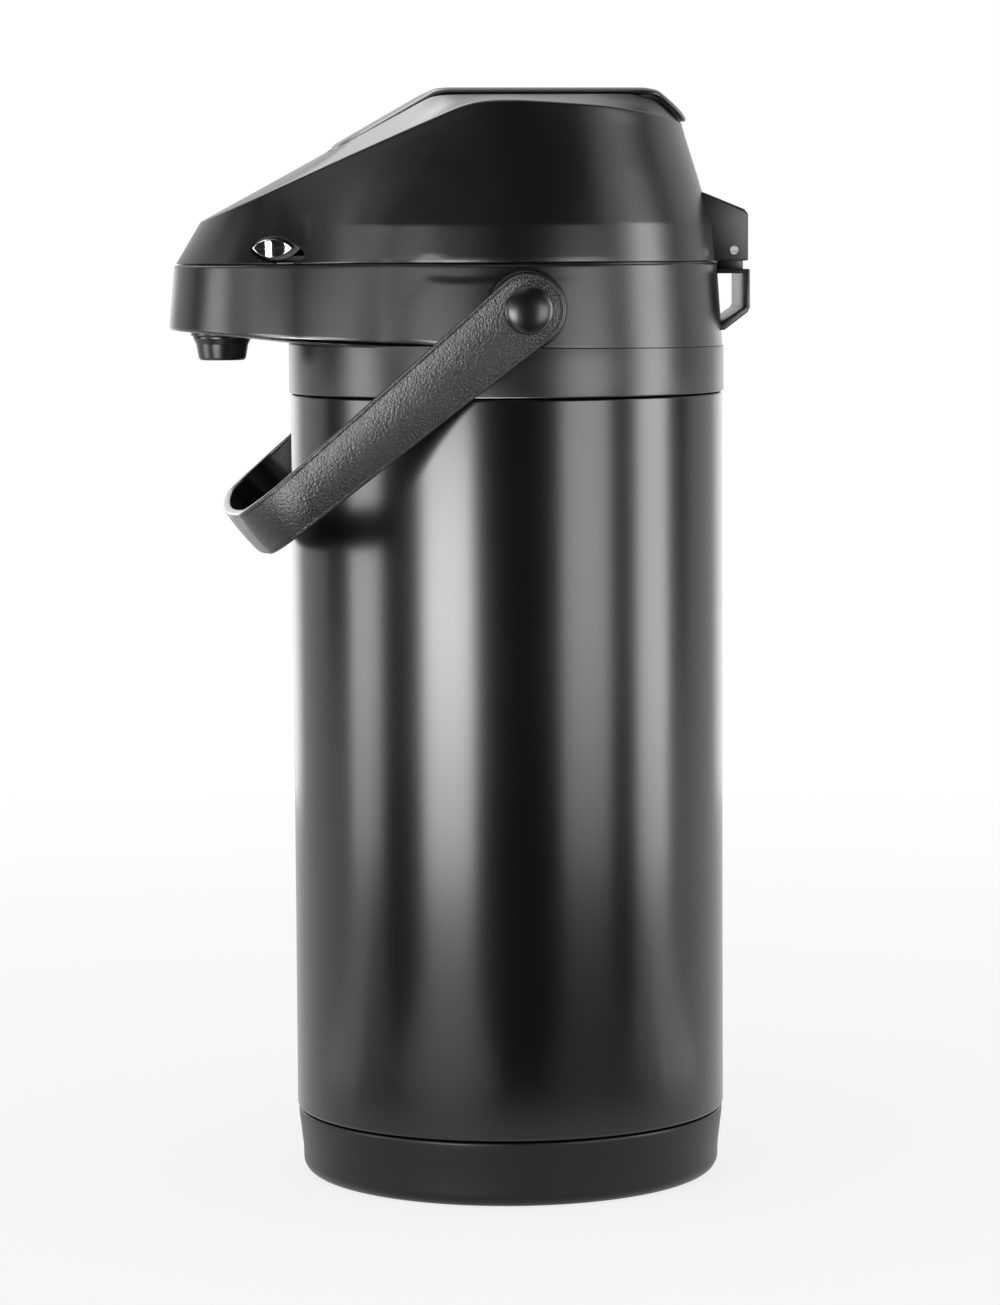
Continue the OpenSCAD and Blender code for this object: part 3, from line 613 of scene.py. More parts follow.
class POT_OT_collar(bpy.types.Operator):
    """Makes the collar with its beak, pivot pads, rear loop and hinge knuckle"""

    bl_idname = "pot.collar"
    bl_label = "Collar"
    LAP, NICK = 2.0, 0.14
    LEAN, TOP_EDGE = 1.85, 0.7
    SWELL, SWELL_Y = 0.3, (-48.0, -33.0, 24.0)

    def wall_ring(self, o, d, z):
        """Ring of the outer wall, with the soft swell before the handle pivots."""
        p, out = o.low(d), o.low(0) - o.low(1)
        y = p[:, 1]
        start, bend_y, end = self.SWELL_Y
        crest = o.seam - 3.4 - 1.3 * np.maximum(bend_y - y, 0.0) - 0.4 * np.sin(y / 4.5)
        along = ease((y - start) / 9.0) * ease((end - y) / 44.0)
        rise = self.SWELL * ease((crest - z) / 2.8) * along
        return o.whole(p + out * rise[:, None], z)

    def execute(self, context):
        o = Outline(context.scene.pot_sizes)
        stock = Stock().sheet(self.outside(o) + self.inside(o))
        make_piece("Collar", stock, "pot", ["collar"], "moulded_plastic")
        self.pads(o)
        self.loop(o)
        return {"FINISHED"}

    def brim(self, o):
        """Heights of the ring's upper edge and of the chin's root: both reach the lip at the sides."""
        y = o.round(o.band)[:, 1]
        chin, side = o.chin_z(y), ease((y + 62) / 40)
        brim = lerp(o.collar + 17.2, chin - 0.1, side)
        under = np.where(y < 0, 0.6 - 0.6 * y / o.band, 0.6) + 0.5
        return brim, lerp(chin - under, brim, side)

    def outside(self, o):
        """Outlines of the band below the beak, the chin, the lip and the wall up to the seam."""
        c, ring, lap, nick = o.collar, o.body_r + 0.6, o.body_r - self.LAP, self.NICK
        brim, root = self.brim(o)
        rows = [o.hoop(lap + 0.05, c + 0.3), o.hoop(lap + 0.3, c)]
        rows += [o.hoop(ring - 0.5 * s, c + 0.5 * k) for s, k in quarter(5)]
        rows += [o.hoop(ring - nick * k, brim - nick * s) for s, k in quarter(5)]
        root, rim, step = o.hoop(o.band - nick, root), o.low(0), o.low(1)
        soft = lerp(1.4, nick, ease((rim[:, 1] + 46) / 26))
        chin = o.chin_z(o.low(1.3)[:, 1])
        lip = o.whole(lerp(rim, step, soft[:, None]), chin)
        rows += [lerp(root, lip, u) for u in np.linspace(0, 1, 7)]
        for s, k in quarter(7)[1:]:
            rows.append(o.whole(lerp(rim, step, (soft * s)[:, None]), chin + soft * k))
        top = o.seam - self.TOP_EDGE
        for u in np.linspace(0.02, 1, 40):
            rows.append(self.wall_ring(o, self.LEAN * u, lerp(chin + soft, top, u)))
        for s, k in quarter(6)[1:]:
            rows.append(o.whole(o.low(self.LEAN + self.TOP_EDGE * k), o.seam - self.TOP_EDGE * s))
        return rows

    def inside(self, o):
        """Outlines of the low rib in the seam, the mouth and the hollow behind the wall."""
        c, top, mouth, lap = o.collar, o.seam, 57.5, o.body_r - self.LAP
        rows = [o.whole(o.low(d), top + h) for d, h in ((3.0, 0), (3.1, 0.42), (6.8, 0.42), (6.9, 0))]
        rim, roof = c + 14.8, top - 2.4
        rows += [o.hoop(mouth + d, z) for d, z in ((0, top), (0, rim), (2.1, rim), (2.1, roof))]
        hollow, inner = o.low(o.wall), o.round(lap - 0.8)
        return rows + [
            o.whole(o.low(self.LEAN + o.wall), roof), o.whole(hollow, o.chin_z(hollow[:, 1]) + 3.6),
            o.whole(inner, o.chin_z(inner[:, 1]) + 2.2), o.whole(inner, c + 10.8), o.hoop(lap + 0.05, c + 7)]

    def pads(self, o):
        """Round pads that carry the handle pivots, and the boss above the nozzle."""
        stock, r = Stock(), o.body_r
        path = soften([(0, r - 3), (14, r - 1.6), (13.5, r + 1.4), (12.8, r + 3), (0, r + 3)],
                      [0, 1, 1.4, 0.5, 0], 6)
        for side in (-1, 1):
            stock.sheet(sideways(lathe(path, 120), side, o.pivot_z))
        boss = lathe([(0, 6), (11, 6), (11, 0.4), (10.7, 0), (0, 0)], 96)
        stock.sheet(boss + [0, -o.nozzle_y, o.nozzle_z])
        make_piece("PivotPads", stock, "pot", [], "moulded_plastic")

    def loop(self, o):
        """Strap behind the collar that a finger goes through, with the knuckle of the hinge on it."""
        place, r = [o.hinge_y, o.seam], o.hinge_r
        stock = Stock()
        strap = soften(
            [(-6, -2.3), (5.6, -2.3), (5.6, -15.8), (4.8, -17.4), (-3.4, -23.6), (-6, -23.6), (-6, -21.2),
             (-5, -21.2), (2.8, -16), (3.4, -15), (3.4, -3.8), (-6, -3.8)],
            [0, 0.6, 1.2, 0.8, 0.6, 0, 0, 0.8, 0.6, 0.5, 0.5, 0], 4)
        block(stock, strap + place, -15.5, 15.5, 0.45)
        bow = [(r * math.cos(a), r + r * math.sin(a)) for a in np.linspace(0, math.pi, 25)]
        block(stock, np.array([(-r, -3), (r, -3)] + bow) + place, -7.6, 7.6, 0.4)
        make_piece("RearLoop", stock, "pot", [], "moulded_plastic")


# Lid


class POT_OT_lid(bpy.types.Operator):
    """Makes the lid shell with its opening, button pockets and hinge block"""

    bl_idname = "pot.lid"
    bl_label = "Lid"
    SCOOP = ((-8.2, 0.1), (-7.2, 1.9), (-4.2, 3.6), (0.0, 4.25), (3.8, 3.75), (6.8, 2.1), (9.2, 0.5),
             (11.3, -1.0), (12.1, -2.7), (11.2, -4.4), (8.4, -5.1), (4.0, -5.2), (0.0, -4.7), (-4.0, -3.6),
             (-7.0, -1.9))

    def execute(self, context):
        o = Outline(context.scene.pot_sizes)
        rows = [o.lid_wall(0.012 * k, 0.45 * s) for s, k in quarter(5)]
        rows += [o.lid_wall(t, 0) for t in (*np.linspace(0.02, 0.5, 44), *np.linspace(0.5, 0.985, 26)[1:])]
        rows += bend(rows[-1], o.deck(0), o.deck(0.045), 6)[1:]
        rows += [o.deck(u) for u in np.linspace(0.045, 0.96, 14)[1:]]
        rim, well, dip = o.deck(1), o.well_ring(0, -0.5), np.array([0, 0, 0.35])
        rows += bend(rows[-1], rim, lerp(rim, well, 0.15) - dip, 4)[1:]
        rows += [lerp(rim, well, u) - dip * (1 - u) for u in (0.4, 0.7, 1.0)]
        walls = ((0, -6), (0, -11.7), (-0.3, -12), (-2.2, -12), (-2.2, -3.4))
        rows += [o.well_ring(d, dz) for d, dz in walls]
        a, b, u = o.edge(0), o.well(0), 0.3
        rows.append(o.whole(lerp(a, b, u), lerp(o.edge_z(a[:, 1]), o.rim_z(b[:, 1]), u) - 3.2))
        rows += [o.lid_wall(t, o.wall) for t in (0.84, 0.7, 0.6, 0.5, 0.4, 0.24, 0.12, 0.0)]
        shell = make_piece("LidShell", Stock().sheet(rows), "lid", ["lid_cover"], "moulded_plastic")
        carve(shell, [self.pocket(o, side) for side in (1, -1)])
        self.hinge_block(o)
        return {"FINISHED"}

    def pocket(self, o, side):
        """Oval pocket round a release button, with a scoop for the finger behind and below it."""
        a = np.linspace(-math.pi, math.pi, 96, endpoint=False)
        marks = sorted((math.atan2(v, u), math.hypot(u, v)) for u, v in self.SCOOP)
        laps = (-2 * math.pi, 0, 2 * math.pi)
        reach = smooth_table([(turn + lap, r) for lap in laps for turn, r in marks], 0.08)
        scoop = np.stack([reach(a) * np.cos(a), reach(a) * np.sin(a)], 1)
        rows = [np.column_stack([scoop * k, np.full(len(a), w)])
                for k, w in ((0.92, -7.0), (0.95, -3.4), (1.0, -0.8), (1.05, 3.0))]
        stock = Stock().sheet(on_button(o, np.array(rows), side), loop_rows=False, ends=True)
        return new_form("pocket", stock, 30.0)

    def hinge_block(self, o):
        """Block behind the lid that holds the hinge pin, with a slot for the knuckle."""
        place = [o.hinge_y, o.seam + o.hinge_r]
        back, soft = [(-13, 20.9), (-10, 19.9), (3.6, 14.3), (5, 12.7)], [0, 0.5, 0.8, 0.8, 0.6, 0]
        stock = Stock()
        for low, high in ((-15.5, -8), (8, 15.5)):
            block(stock, soften(back + [(5, -3.7), (-8.5, -3.7)], soft, 4) + place, low, high, 0.4)
        bridge = soften(back + [(5, 6), (-10, 6)], soft, 4)
        block(stock, inset(bridge, 0.02) + place, -8.6, 8.6, 0.05)
        make_piece("HingeBlock", stock, "lid", [], "moulded_plastic")


def on_button(o, points, side):
    """Moves points from a button's own frame (along, up, out) to its place on the lid."""
    turn, r = math.radians(18), o.nose_r - 2.8
    along = np.array([math.sin(turn), math.cos(turn), 0])
    out = np.array([math.cos(turn), -math.sin(turn), 0])
    centre = np.array([0, -o.nose_y, o.seam + 6]) + r * out
    return (centre + points @ np.array([along, [0, 0, 1], out])) * [side, 1, 1]


class POT_OT_buttons(bpy.types.Operator):
    """Makes the two release buttons on their sliders"""

    bl_idname = "pot.buttons"
    bl_label = "Release buttons"
    HALF, TALL = 6.7, 3.05

    def execute(self, context):
        o = Outline(context.scene.pot_sizes)
        slider = [self.ring(scale, w) for scale, w in (
            (0.02, -6.4), (1.37, -6.4), (1.37, -5.2), (0.9, -5.2), (0.9, -3.2), (0.02, -3.2))]
        rows = [self.ring(0.02, -3.2), self.ring(1.0, -3.2)]
        rows += [self.face(1 - 0.03 * k, 0.16 * s) for s, k in quarter(5)]
        rows += [self.face(scale, 0.0) for scale in np.linspace(0.97, 0.02, 22)[1:]]
        for side, letter, word in ((1, "R", "right"), (-1, "L", "left")):
            for name, net, stands_for, finish in (
                    ("ReleaseButton.", rows, ["release_button_" + word], "chrome"),
                    ("ButtonSlider.", slider, [], "dark_inside")):
                stock = Stock().sheet(on_button(o, np.array(net), side), loop_rows=False, ends=True)
                make_piece(name + letter, stock, "button_" + word, stands_for, finish, 40.0)
        return {"FINISHED"}

    def ring(self, scale, w):
        """Pointed oval of the button at height w."""
        r = (self.HALF ** 2 + self.TALL ** 2) / (2 * self.TALL)
        reach = math.asin(self.HALF / r)
        a = np.linspace(-reach, reach, 33)
        up = np.stack([r * np.sin(a), r * np.cos(a) - (r - self.TALL)], 1)
        ring = np.concatenate([up, -up[1:-1]]) * scale
        return np.column_stack([ring, np.full(len(ring), w)])

    def face(self, scale, drop):
        """Ring on the button's face, which is rounded along its length and leans a little downwards."""
        ring = self.ring(scale, 0.2 - drop)
        u = np.linspace(-1, 1, 201)
        turn = np.radians(np.interp(u, [-1, -0.35, -0.1, 0.45, 1], [-17.6, -11.6, 2.4, 24.9, 38.4]))
        sink = np.cumsum(np.tan(turn)) * self.HALF / 100
        v = ring[:, 1]
        ring[:, 2] += 0.07 * v - v * v / 90 - np.interp(ring[:, 0] / self.HALF, u, sink - sink.min())
        return ring


# Press plate


class POT_OT_press_plate(bpy.types.Operator):
    """Makes the press plate with its lugs and the rib that pushes the pump"""

    bl_idname = "pot.press_plate"
    bl_label = "Press plate"
    HALF, ROUND = 35.2, 11.0
    FRONT, BACK = -60.0, 40.0
    UPPER = ((-59.95, -17.8), (-59.9, -17), (-58.4, -15.6), (-27, 2.2), (-23, 2.5), (46, 2.3), (50.8, 1.5),
             (63.25, -7.3), (63.58, -8.1))
    LOWER = ((-59.95, -17.8), (-59.6, -18.3), (-58, -18.4), (-27.4, -1), (-23.4, 0), (48.6, -0.1), (51, -1),
             (62.2, -8.9), (63.2, -8.8), (63.58, -8.1))

    def execute(self, context):
        o = Outline(context.scene.pot_sizes)
        upper = soften(self.UPPER, [0, 0.6, 1.2, 5, 5, 6, 6, 0.6, 0], 6, closed=False)
        lower = soften(self.LOWER, [0, 0.3, 0.5, 4, 4, 4, 4, 0.5, 0.3, 0], 6, closed=False)
        s = (1 - np.cos(np.linspace(0, math.pi, 120))) / 2
        rows = [self.ring(o, *up, *down) for up, down in zip(along_path(upper, s), along_path(lower, s))]
        stock = Stock().sheet(np.array(rows) + [0, 0, o.top], loop_rows=False, ends=True)
        self.lugs(stock, o.top)
        make_piece("PressPlate", stock, "lever", ["press_lever"], "moulded_plastic")
        return {"FINISHED"}

    def width(self, o, y):
        """Half width of the plate: round corners in front and a half ellipse behind."""
        past = min(y - self.FRONT - self.ROUND, 0.0)
        front = self.HALF - self.ROUND + math.sqrt(max(self.ROUND ** 2 - past ** 2, 0.0))
        behind = max(y - self.BACK, 0.0) / (o.edge_r - self.BACK + 1.6)
        return min(front, self.HALF * math.sqrt(max(1 - behind ** 2, 0.0)))

    def ring(self, o, yt, zt, yb, zb):
        """Ring across the plate at a place on its upper and lower line, with a rounded upper edge."""
        wt, wb = self.width(o, yt), self.width(o, yb)
        ym, deep = (yt + yb) / 2, max(zt - zb, 0.0)
        soft = min(5.5, 0.45 * max(wt, 0.01))
        fall = min(soft, 0.8 * deep)
        top = [(x, yt, zt) for x in np.linspace(-1, 1, 15) * (wt - soft)]
        edge = [(wt - soft * s, lerp(yt, ym, k), zt - fall * k) for s, k in quarter(7)[1:]]
        edge.append((wb - 0.02 * soft, lerp(ym, yb, 0.5), zb + min(0.3, 0.12 * deep)))
        edge.append((wb - 0.12 * soft, yb, zb))
        under = [(x, yb, zb) for x in np.linspace(0.98, -0.98, 15) * (wb - soft)]
        return top + edge + under + [(-x, y, z) for x, y, z in reversed(edge)]

    def lugs(self, stock, top):
        """Two lugs on the lever's pin, and the rib that rests on the plunger."""
        r = 3.6
        lug = [(r * math.cos(a), r * math.sin(a)) for a in np.linspace(-math.pi, 0, 19)]
        lug = np.array(lug + [(3, 8.4), (-14, 8.4)]) + [42.0, top - 8.2]
        for x in (-23, 23):
            block(stock, lug, x - 3, x + 3, 0.4)
        rib = soften([(-14, -5.6), (12, -5.6), (12, 0.6), (-14, 0.6)], 0.8, 3)
        block(stock, rib + [0, top], -6, 6, 0.5)


def along_path(path, shares):
    """Points at shares of a path's length."""
    d = np.concatenate([[0], np.cumsum(np.linalg.norm(np.diff(path, axis=0), axis=1))])
    return np.stack([np.interp(shares * d[-1], d, path[:, k]) for k in range(path.shape[1])], 1)


# Handle


class POT_OT_handle(bpy.types.Operator):
    """Makes the strap handle and the domed pivot caps"""

    bl_idname = "pot.handle"
    bl_label = "Handle"
    GAP, THICK, SOFT = 3.5, 4.0, 0.75
    EYE, BAR, CORNER = 12.25, 8.9, 22.0
    BULGE, BULGE_END, ARCH = 1.5, 0.3, 3.2

    def execute(self, context):
        sizes = context.scene.pot_sizes
        o = Outline(sizes)
        tilt, reach = sizes.handle_tilt, sizes.handle_len * 1000 - self.ARCH
        straight = reach - self.THICK / 2 - self.CORNER
        right = self.bent(o, self.unbent(o, reach, straight), straight, tilt)
        left = (right * [-1, 1, 1])[-2::-1]
        stock = Stock().sheet(np.concatenate([right, left]), loop_rows=False)
        strap = make_piece("HandleStrap", stock, "handle", ["handle"], "grained_plastic", 42.0)
        self.smooth_faces(strap, o, straight, tilt)
        self.caps(o)
        return {"FINISHED"}

    def middle(self, o):
        """Distance of the strap's middle line from the pot's axis, beside the pot."""
        return o.body_r + self.GAP + self.THICK / 2

    def unbent(self, o, reach, straight):
        """Rings of one half of the strap before it is bent: places along, across and outwards."""
        bow = self.CORNER * math.pi / 2
        total = straight + bow + self.middle(o) - self.CORNER
        rows = []
        for a in np.linspace(0.0, math.pi / 2, 26):
            part = self.section(self.BULGE)
            ring = [((d - self.EYE) * math.cos(a), (self.EYE - d) * math.sin(a), n) for d, n in part]
            rows.append(self.ring(ring, self.BULGE * math.sin(a) ** 2))
        for u in np.linspace(0, total, 130)[1:]:
            wide = lerp(self.EYE, self.BAR, min(u / (reach - 16.9), 1.0))
            bulge = lerp(self.BULGE, self.BULGE_END, ease((u - straight + 8) / bow))
            rows.append(self.ring([(u, wide - d, n) for d, n in self.section(bulge)], bulge))
        return np.array(rows)

    def section(self, bulge):
        """(inset, height) of the strap's rounded edge, from the inner to the outer face, with a groove."""
        soft, half = self.SOFT, self.THICK / 2
        face, groove = half - bulge, half - bulge - 0.3
        part = [(soft * s, soft * k - half) for s, k in quarter(5)]
        part += [(soft * s, face - soft * k) for s, k in reversed(quarter(6))]
        return part + [(soft + 0.2, face), (soft + 0.28, groove), (soft + 0.62, groove), (soft + 0.72, face)]

    def ring(self, edge, bulge):
        """Closes an edge to a full ring, with a domed outer face and a flat inner one."""
        across = np.linspace(1, -1, 19)[1:-1]
        (u0, h0, n0), (u1, h1, n1) = edge[0], edge[-1]
        outer = [(u1, h1 * k, n1 + bulge * (1 - k * k)) for k in across]
        lower = [(u, -h, n) for u, h, n in reversed(edge)]
        return edge + outer + lower + [(u0, -h0 * k, n0) for k in across]

    def bent(self, o, rows, straight, tilt):
        """Bends the strap round its corner, arches the cross bar and tilts it to its place at rest."""
        u, h, n = rows[..., 0], rows[..., 1], rows[..., 2]
        corner, bow, inner = self.CORNER, self.CORNER * math.pi / 2, self.middle(o) - self.CORNER
        a = np.clip((u - straight) / corner, 0, math.pi / 2)
        n = np.where(n > -0.5, n - 0.8 * ease((u - straight) / bow), n)
        x = inner + (corner + n) * np.cos(a) - np.maximum(u - straight - bow, 0)
        along = np.minimum(u, straight) + (corner + n) * np.sin(a)
        along += self.ARCH * (1 - np.minimum(np.abs(x) / inner, 1) ** 2)
        y = -along * math.cos(tilt) - h * math.sin(tilt)
        z = -along * math.sin(tilt) + h * math.cos(tilt) + o.pivot_z
        return np.stack([x, y, z], -1)

    def smooth_faces(self, strap, o, straight, tilt):
        """Gives the edges and the inner face a finish without grain."""
        strap.data.materials.append(FINISH["smooth_strap"][0])
        across = Vector((0, -math.sin(tilt), math.cos(tilt)))
        inside = Vector((0, -math.cos(tilt), -math.sin(tilt))) * (straight / 2 * MM)
        inside.z += o.pivot_z * MM
        for face in strap.data.polygons:
            inner = face.normal.dot(inside - face.center) > 0
            if inner or abs(face.normal.dot(across)) > 0.6:
                face.material_index = 1

    def caps(self, o):
        """Domed caps on the pivot pins."""
        out, root = o.body_r + self.GAP + self.THICK, o.body_r - 7
        turns = np.linspace(0, math.pi / 2, 16)
        path = [(8.3 * math.sin(a), out + 0.45 + 2.95 * math.cos(a) ** 1.15) for a in turns]
        path += [(8.2, out + 0.15), (8.2, out - 1.0), (4, out - 1.0), (4, root), (0, root)]
        for side, letter, node in ((1, "R", "pivot_pin_right"), (-1, "L", "pivot_pin_left")):
            stock = Stock().sheet(sideways(lathe(path, 96), side, o.pivot_z))
            make_piece("PivotCap." + letter, stock, "pot", [node], "moulded_plastic", 50.0)


# Spout


class POT_OT_spout(bpy.types.Operator):
    """Makes the nozzle under the beak"""

    bl_idname = "pot.spout"
    bl_label = "Nozzle"

    def execute(self, context):
        o = Outline(context.scene.pot_sizes)
        path = soften(
            [(3.2, -5.4), (3.2, 3.6), (4.6, 3.6), (4.6, 6), (7, 6), (7, 0), (10.2, 0), (10.2, -0.8),
             (9.2, -2.8), (8.3, -7.7), (7.6, -8.4), (6.6, -8.4), (6.6, -5.4)],
            [0, 0, 0, 0.2, 0.3, 0, 0.3, 0.4, 0.8, 0.6, 0.4, 0.3, 0], 4)
        stock = Stock().sheet(lathe(path, 128) + [0, -o.nozzle_y, o.nozzle_z])
        make_piece("SpoutNozzle", stock, "pot", ["spout_nozzle"], "moulded_plastic")
        return {"FINISHED"}


# Pump


class POT_OT_pump(bpy.types.Operator):
    """Makes the bellows, the return spring, the seals and the valves inside the lid"""

    bl_idname = "pot.pump"
    bl_label = "Pump"
    STROKE = 10.6

    def execute(self, context):
        o = Outline(context.scene.pot_sizes)
        low, high = o.seam - 14.6, o.top - 28.2
        for piece in (self.bellows(low, high), self.spring(low, high)):
            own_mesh(piece)
        self.seals(o, low, high)
        return {"FINISHED"}

    def bellows(self, low, high):
        """Folded silicone sleeve with a flange at each end."""
        r, deep, folds = 39.0, 7.0, 6
        z = np.linspace(low + 1.2, high - 1.2, folds * 16 + 1)
        wave = 0.5 + 0.5 * np.cos(2 * math.pi * folds * (z - z[0]) / (z[-1] - z[0]))
        outer = [(r - deep * (1 - w), h) for w, h in zip(wave, z)]
        inner = [(radius - 1.4, h) for radius, h in reversed(outer)]
        path = [(r - 10, low), (r - 0.4, low), (r, low + 0.4)] + outer + [(r, high - 0.4), (r - 0.4, high)]
        path += [(r - 10, high), (r - 10, high - 1.2)] + inner + [(r - 10, low + 1.2)]
        return make_piece("Bellows", Stock().sheet(lathe(path, 128)), "lid", ["bellows"], "soft_silicone")

    def spring(self, low, high):
        """Wound wire with closed end turns."""
        turns, wire, r = 7, 0.9, 18.0
        v = np.linspace(0, turns, turns * 56 + 1)
        rise = np.clip((v - 1) / (turns - 2), 0, 1)
        flat = np.minimum(v, 1) * 2 * wire + np.maximum(v - turns + 1, 0) * 2 * wire
        z = low + wire + flat + (high - low - 6 * wire) * rise
        a = 2 * math.pi * v
        b = np.linspace(0, 2 * math.pi, 14, endpoint=False)
        ring = r + wire * np.cos(b)
        rows = np.stack([np.outer(np.cos(a), ring), np.outer(np.sin(a), ring),
                         np.add.outer(z, wire * np.sin(b))], -1)
        stock = Stock().sheet(rows, loop_rows=False, ends=True)
        return make_piece("ReturnSpring", stock, "lid", ["return_spring"], "brushed_steel", 60.0)

    def seals(self, o, low, high):
        """Silicone rings and valves."""
        stop, mouth = 46.4, o.collar + 16.8
        lip = [(0, 0), (-0.25, -5.3), (3.6, -7.3), (4.2, -6.7), (4.2, -5.3), (1.6, -3.3), (1.6, 0)]
        gasket = [(51.6, 0), (54.8, 0), (54.8, 2), (51.6, 2)]
        check = [(0, -4.8), (3, -4.5), (8, -3.4), (8, -2.4), (2, -2.4), (2, 0), (2.8, 0), (1.4, 2.2),
                 (0, 2.2)]
        intake = [(0, -2.4), (4.2, -1), (4.2, 0), (1.5, 0), (1.5, 2.6), (2.4, 2.6), (1, 4.4), (0, 4.4)]
        for name, body, node, path, soft, steps, around, place, y in (
                ("StopperSeal", "lid", "stopper_seal", lip, [0, 0.3, 0.5, 0.3, 0.5, 1.2, 0], 5, 160,
                 [stop, o.lid + 0.3], 0.0),
                ("MouthGasket", "pot", "mouth_gasket", gasket, 0.6, 5, 160, [0, mouth], 0.0),
                ("CheckValve", "lid", "check_valve", check, [0, 1, 0.4, 0.2, 0.2, 0, 0.3, 0.5, 0], 4, 64,
                 [0, low], 0.0),
                ("IntakeValve", "pump", "intake_valve", intake, [0, 0.4, 0.2, 0.1, 0, 0.3, 0.5, 0], 4, 64,
                 [0, high], -24.0)):
            stock = Stock().sheet(lathe(soften(path, soft, steps) + place, around) + [0, y, 0])
            make_piece(name, stock, body, [node], "silicone")


class POT_OT_inside(bpy.types.Operator):
    """Gives the solids of the frame that stay in view their finishes"""

    bl_idname = "pot.inside"
    bl_label = "Inside"

    def execute(self, context):
        for finish, names in {
            "brushed_steel": ["shell_bottom", "inner_liner", "hinge_pin", "lid_screws", "lever_pin"],
            "dark_inside": ["mouth_insert", "lid_tray"],
            "pale_plastic": ["dip_tube", "outlet_pipe", "stopper", "plunger"],
        }.items():
            for name in names:
                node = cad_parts[name]
                node.data.materials.clear()
                node.data.materials.append(FINISH[finish][0])
        return {"FINISHED"}


# Stage


